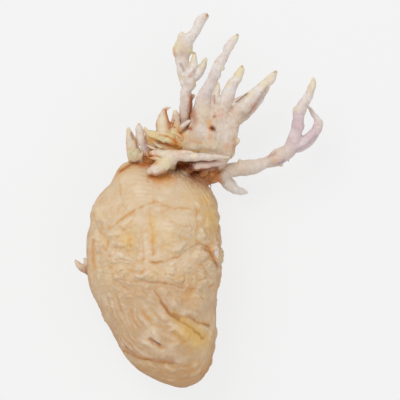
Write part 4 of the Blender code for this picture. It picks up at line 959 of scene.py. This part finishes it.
def fused(name, parts):
    """One closed mesh, in millimetres, from overlapping closed ones."""
    points, faces = joined(parts)
    mesh = bpy.data.meshes.new(name)
    mesh.from_pydata(points.tolist(), [], faces)
    obj = bpy.data.objects.new(name, mesh)
    bpy.context.scene.collection.objects.link(obj)
    remesh = obj.modifiers.new("fuse", "REMESH")
    remesh.mode = "VOXEL"
    remesh.voxel_size = VOXEL
    bpy.context.view_layer.update()
    made = bpy.data.meshes.new_from_object(obj.evaluated_get(bpy.context.evaluated_depsgraph_get()))
    bpy.data.objects.remove(obj)
    bpy.data.meshes.remove(mesh)
    return made


def crown_base(x, y, z):
    """How far a point lies in the brown rough base of the crown: 0 to 1."""
    across = smooth(8.0, 12.0, x) * smooth(24.0, 20.0, x)
    along = smooth(29.0, 32.0, y) * smooth(41.0, 36.0, y)
    return across * along * smooth(25.0, 22.0, z) * smooth(14.0, 17.0, z)


def stem_detail(p):
    """Height of a stem's soft knobs and fine grain: rougher in the crown."""
    rough = 0.14 * (0.25 - abs(noise.noise(p * 0.9))) * float(smooth(62.0, 50.0, p.y))
    rough += 0.9 * (0.25 - abs(noise.noise(p * 0.8))) * float(crown_base(*p))
    return 0.13 * noise.noise(p * 0.6 + Vector((4.0, 1.0, 2.0))) + 0.08 * noise.noise(p * 1.7) + rough


def nodule(p):
    """Height of the small pale nodules on the slender stems."""
    near = noise.voronoi(p * 0.5 + Vector((0.4, 0.7, 0.2)))[0][0]
    return math.exp(-((near / 0.15) ** 2))


def tree_of(points):
    """A tree that finds the nearest of the points."""
    tree = KDTree(len(points))
    for i, point in enumerate(points):
        tree.insert(point[:3], i)
    tree.balance()
    return tree


def shape_sprout(name, stems):
    """One sprout's mesh and, at each of its points, thickness, distance to a tip and how hollow it lies."""
    lines = stems + SCALES.get(name, [])
    mesh = fused(name + "_fine", [tube(line, FLATTENED.get(name, 1.0)) for line in lines])
    points, normals, edges, counts = mesh_arrays(mesh)
    points = relaxed(points, edges, counts, SMOOTHING)
    bones = skeleton(stems)
    tree = tree_of(bones)
    nearest = np.array([tree.find(p)[1] for p in points])
    radius, to_tip = bones[nearest, 3], bones[nearest, 4]
    bumps = sampled(stem_detail, points) + 0.13 * sampled(nodule, points) * smooth(3.2, 2.2, radius)
    points = points + normals * (bumps * np.clip(radius / 1.8, 0.25, 1.0))[:, None]
    for x, y, reach, depth in PITS.get(name, []):
        near = np.exp(-(((points[:, 0] - x) ** 2 + (points[:, 1] - y) ** 2) / reach ** 2))
        points[:, 2] -= depth * near * smooth(0.0, 0.5, normals[:, 2])
    drawn = relaxed(points, edges, counts, NARROW_DRAW)
    narrow = ((drawn - points) * normals).sum(1)
    drawn = relaxed(drawn, edges, counts, WIDE_DRAW)
    wide = ((drawn - points) * normals).sum(1)
    mesh.vertices.foreach_set("co", (points * MM).ravel())
    mesh.update()
    mesh.shade_smooth()
    return {"mesh": mesh, "points": points, "up": normals[:, 2], "radius": radius, "to_tip": to_tip,
            "narrow": narrow, "wide": wide}


def gaps(shapes, tuber_points):
    """For each sprout, how far each of its points in the crown lies from the nearest other piece."""
    others = {name: shape["points"][::3] for name, shape in shapes.items()}
    others["tuber"] = tuber_points[tuber_points[:, 1] > 20]
    found = {}
    for name, shape in shapes.items():
        tree = tree_of(np.vstack([points for other, points in others.items() if other != name]))
        near = np.full(len(shape["points"]), WIDEST_GAP)
        for i in np.nonzero(shape["points"][:, 1] < CROWN_END)[0]:
            near[i] = min(tree.find(shape["points"][i])[2], WIDEST_GAP)
        found[name] = near
    return found


def sprout_colours(shape, gap):
    """A sprout's colour at each point: pale flesh, warmer towards the crown, with painted shade of rust and
    maroon in crevices and gaps.
    """
    points, up, wide, narrow = shape["points"], shape["up"], shape["wide"], shape["narrow"]
    x, y, z = points.T
    patch = clouds(points, 0.3, (9.0, 2.0, 5.0), 3)
    mottle = clouds(points, 0.8, (1.0, 6.0, 3.0), 2)
    streak = clouds(points, 0.55, (5.0, 3.0, 8.0), 2)
    warm = smooth(70.0, 56.0, y) * smooth(44.0, 30.0, x) * smooth(28.0, 33.0, y)
    warm = warm * (1.0 - 0.55 * smooth(27.0, 29.0, z))
    root = smooth(47.0, 38.0, y) * smooth(26.5, 21.0, z) * smooth(26.0, 19.0, x) * (x > -14)
    base = crown_base(x, y, z)
    tips = smooth(3.2, 0.4, shape["to_tip"]) * smooth(1.9, 0.9, shape["radius"])
    heart = smooth(60.0, 52.0, y) * smooth(16.0, 9.0, x) * smooth(29.0, 27.0, z)
    colours = blended(WHITE, [
        (PINK, 0.8 * smooth(-0.3, 0.6, patch)),
        (BEIGE, warm * (0.6 + 0.4 * smooth(-0.4, 0.3, mottle))),
        (BEIGE, 0.35 * smooth(0.0, 0.6, mottle)),
        (CREAM, 0.7 * tips),
        (LEMON, 0.35 * heart * smooth(0.0, 0.5, mottle)),
        (AMBER, 0.45 * heart * smooth(0.05, 0.5, streak)),
        (OCHRE, 0.7 * root),
        # Amber in the wide hollows: partly the flesh's own colour, partly painted shade.
        (AMBER, 0.5 * smooth(0.15, 0.7, wide) * warm),
        (AMBER, 0.35 * smooth(0.3, 0.9, wide)),
        # Darker where the surface is upright, seen from above: partly a darker fringe, partly painted shade.
        (BARK, 0.38 * smooth(0.5, 0.1, np.abs(up)) * smooth(-0.3, 0.3, streak)),
    ])
    colours = tinted(colours, points, SPROUT_TINTS)
    # How far a point faces away from straight up: the painted shade in gaps is strongest there.
    hidden = 1.0 - 0.7 * smooth(0.2, 0.8, up)
    colours = blended(colours, [
        (DARK, 0.6 * base * smooth(0.0, 0.4, mottle)),
        (AMBER, 0.5 * base * smooth(0.0, -0.4, mottle)),
        # Painted shade: rust and maroon in narrow hollows, ochre and maroon in the gaps between pieces. The
        # rust is partly the crown's own colour.
        (RUST, 0.55 * smooth(0.12, 0.34, narrow)),
        (OCHRE, 0.5 * smooth(1.8, 0.3, gap) * hidden),
        (MAROON, 0.7 * smooth(0.30, 0.7, narrow)),
        (MAROON, 0.4 * smooth(0.5, 0.1, gap) * hidden),
    ])
    return np.clip(colours, 0.0, 1.0)


def make_sprouts(finish, tuber):
    """The sprouts, each a piece of its own."""
    shapes = {name: shape_sprout(name, stems) for name, stems in SPROUTS.items()}
    skin_points = mesh_arrays(tuber.data)[0] / MM
    for name, gap in gaps(shapes, skin_points).items():
        mesh = shapes[name]["mesh"]
        obj = bpy.data.objects.new(name + "_fine", mesh)
        bpy.context.scene.collection.objects.link(obj)
        set_layers(mesh, sprout_colours(shapes[name], gap))
        mesh.materials.append(finish)
        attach(obj, "root")
        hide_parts(name)


def make_hairs(finish):
    """The fine dry roots, as one piece."""
    points, faces = joined([tube(line, 1.0) for line in HAIRS])
    obj = object_from("root_hairs", points, faces)
    set_layers(obj.data, np.tile(BARK, (len(points), 1)))
    obj.data.materials.append(finish)
    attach(obj, "root")


# Materials

class Finish:
    """A material's node tree, with short calls that add and join nodes."""

    def __init__(self, name):
        self.material = bpy.data.materials.new(name)
        self.material.use_nodes = True
        self.tree = self.material.node_tree
        self.shader = self.tree.nodes["Principled BSDF"]
        self.place = self.add("ShaderNodeTexCoord").outputs["Object"]

    def add(self, kind, links=(), **settings):
        """A node with its settings, and its inputs joined or set."""
        node = self.tree.nodes.new(kind)
        for key, value in settings.items():
            setattr(node, key, value)
        for key, value in dict(links).items():
            if isinstance(value, bpy.types.NodeSocket):
                self.tree.links.new(value, node.inputs[key])
            else:
                node.inputs[key].default_value = value
        return node

    def attribute(self, name):
        """A layer stored at the mesh's points."""
        return self.add("ShaderNodeAttribute", attribute_name=name)

    def cells(self, scale, feature="F1"):
        """The distance from the middle of the nearest of many small cells, or from its edge."""
        links = {"Vector": self.place, "Scale": scale}
        return self.add("ShaderNodeTexVoronoi", links, feature=feature).outputs["Distance"]

    def noise(self, scale, detail=4.0, roughness=0.55, distortion=0.0):
        """Noise through the object, 0 to 1."""
        links = {"Vector": self.place, "Scale": scale, "Detail": detail, "Roughness": roughness,
                 "Distortion": distortion}
        return self.add("ShaderNodeTexNoise", links).outputs["Fac"]

    def spread(self, value, low, high, to_low, to_high):
        """A value mapped from one range to another, held within it."""
        links = {"Value": value, "From Min": low, "From Max": high, "To Min": to_low, "To Max": to_high}
        return self.add("ShaderNodeMapRange", links).outputs["Result"]

    def mixed(self, share, first, second, blend="MIX"):
        """Two colours mixed."""
        node = self.add("ShaderNodeMix", {"Factor": share}, data_type="RGBA", blend_type=blend)
        for index, value in ((6, first), (7, second)):
            if isinstance(value, bpy.types.NodeSocket):
                self.tree.links.new(value, node.inputs[index])
            else:
                node.inputs[index].default_value = (*value, 1.0)
        return node.outputs[2]

    def shaded(self, colour, value, low, high, most, shade):
        """A colour multiplied by a shade: not where the value is low, and the most where it is high."""
        return self.mixed(self.spread(value, low, high, 0.0, most), colour, shade, "MULTIPLY")

    def waxy(self, weight, radius, scale):
        """Lets light a little way into the surface."""
        self.shader.inputs["Subsurface Weight"].default_value = weight
        self.shader.inputs["Subsurface Radius"].default_value = radius
        self.shader.inputs["Subsurface Scale"].default_value = scale

    def bump(self, height, strength, distance, under=None):
        """A bump, over another one if it is given."""
        links = {"Height": height, "Strength": strength, "Distance": distance}
        if under is not None:
            links["Normal"] = under
        return self.add("ShaderNodeBump", links).outputs["Normal"]

    def connect(self, name, socket):
        """Joins a socket to the shader."""
        self.tree.links.new(socket, self.shader.inputs[name])


def skin_material():
    """Dry, leathery skin: tan, mottled, with faint pores; its darker creases come with the stored colour and
    are partly painted shade.
    """
    f = Finish("tuber_skin")
    colour = f.attribute("tint").outputs["Color"]
    colour = f.shaded(colour, f.noise(150.0, 5.0, 0.6, 0.4), 0.4, 0.8, 0.6, (0.97, 0.86, 0.70))
    colour = f.shaded(colour, f.noise(260.0, 4.0, 0.6), 0.52, 0.8, 0.5, (1.12, 1.18, 1.26))
    colour = f.shaded(colour, f.noise(1500.0, 6.0, 0.65), 0.3, 0.7, 0.5, (0.86, 0.84, 0.82))
    colour = f.shaded(colour, f.cells(420.0), 0.14, 0.04, 0.4, (0.70, 0.55, 0.42))
    f.connect("Base Color", colour)
    f.connect("Roughness", f.spread(f.noise(600.0, 5.0), 0.3, 0.7, 0.50, 0.72))
    leather = f.bump(f.spread(f.cells(760.0, "DISTANCE_TO_EDGE"), 0.0, 0.25, 0.0, 1.0), 0.24, 0.0002)
    f.connect("Normal", f.bump(f.noise(2200.0, 8.0, 0.7), 0.3, 0.00015, leather))
    f.waxy(0.06, (1.0, 0.5, 0.25), 0.0008)
    f.connect("Specular IOR Level", f.spread(f.attribute("shine").outputs["Fac"], 0.0, 1.0, 0.03, 0.34))
    return f.material


def sprout_material():
    """Pale waxy flesh, slightly see-through at the edges."""
    f = Finish("sprout_flesh")
    colour = f.attribute("tint").outputs["Color"]
    colour = f.shaded(colour, f.noise(330.0, 5.0, 0.6, 0.3), 0.42, 0.75, 0.7, (0.92, 0.86, 0.84))
    colour = f.shaded(colour, f.noise(1900.0, 6.0, 0.65), 0.4, 0.75, 0.6, (0.90, 0.86, 0.80))
    colour = f.shaded(colour, f.cells(480.0), 0.13, 0.04, 0.5, (0.80, 0.55, 0.40))
    f.connect("Base Color", colour)
    f.connect("Roughness", f.spread(f.noise(700.0, 5.0), 0.3, 0.7, 0.42, 0.62))
    soft = f.bump(f.noise(900.0, 4.0), 0.22, 0.0003)
    f.connect("Normal", f.bump(f.noise(3200.0, 6.0, 0.7), 0.2, 0.0001, soft))
    f.waxy(0.12, (1.0, 0.6, 0.45), 0.0007)
    f.connect("Specular IOR Level", f.spread(f.attribute("shine").outputs["Fac"], 0.0, 1.0, 0.02, 0.38))
    return f.material


# Stage

def make_floor():
    """A plain pale floor that glows a little, so that shadows on it stay faint."""
    h = FLOOR_HALF / MM
    floor = object_from("floor", [(-h, -h, 0), (h, -h, 0), (h, h, 0), (-h, h, 0)], [(0, 1, 2, 3)])
    paper = Finish("paper")
    paper.connect("Base Color", paper.mixed(paper.noise(3.0), (0.115, 0.115, 0.115), (0.12, 0.12, 0.12)))
    paper.shader.inputs["Emission Color"].default_value = (1.0, 1.0, 1.0, 1.0)
    paper.shader.inputs["Emission Strength"].default_value = PAPER_GLOW
    paper.shader.inputs["Roughness"].default_value = 0.95
    paper.shader.inputs["Specular IOR Level"].default_value = 0.1
    floor.data.materials.append(paper.material)


def make_stage():
    """The floor, soft light from the sprouting end, and the camera straight above."""
    make_floor()
    world = bpy.data.worlds.new("studio")
    bpy.context.scene.world = world
    world.use_nodes = True
    background = world.node_tree.nodes["Background"]
    background.inputs["Color"].default_value = (1.0, 1.0, 1.0, 1.0)
    background.inputs["Strength"].default_value = SKY_STRENGTH

    for name, (place, size, power) in LAMPS.items():
        light = bpy.data.lights.new(name, "AREA")
        light.size = size
        light.energy = power
        lamp = bpy.data.objects.new(name, light)
        lamp.location = place
        lamp.rotation_euler = (Vector(LAMP_AIM) - lamp.location).to_track_quat("-Z", "Y").to_euler()
        lamp.visible_camera = False
        bpy.context.scene.collection.objects.link(lamp)

    data = bpy.data.cameras.new("camera")
    data.sensor_width = 36.0
    data.lens = LENS
    data.clip_end = 20.0
    camera = bpy.data.objects.new("camera", data)
    camera.location = CAMERA_PLACE
    bpy.context.scene.collection.objects.link(camera)
    bpy.context.scene.camera = camera
    bpy.context.scene.view_settings.view_transform = "Standard"


noise.seed_set(FOLD_SEED)
skin = skin_material()
flesh = sprout_material()
make_sprouts(flesh, make_tuber(skin))
make_hairs(flesh)
make_stage()
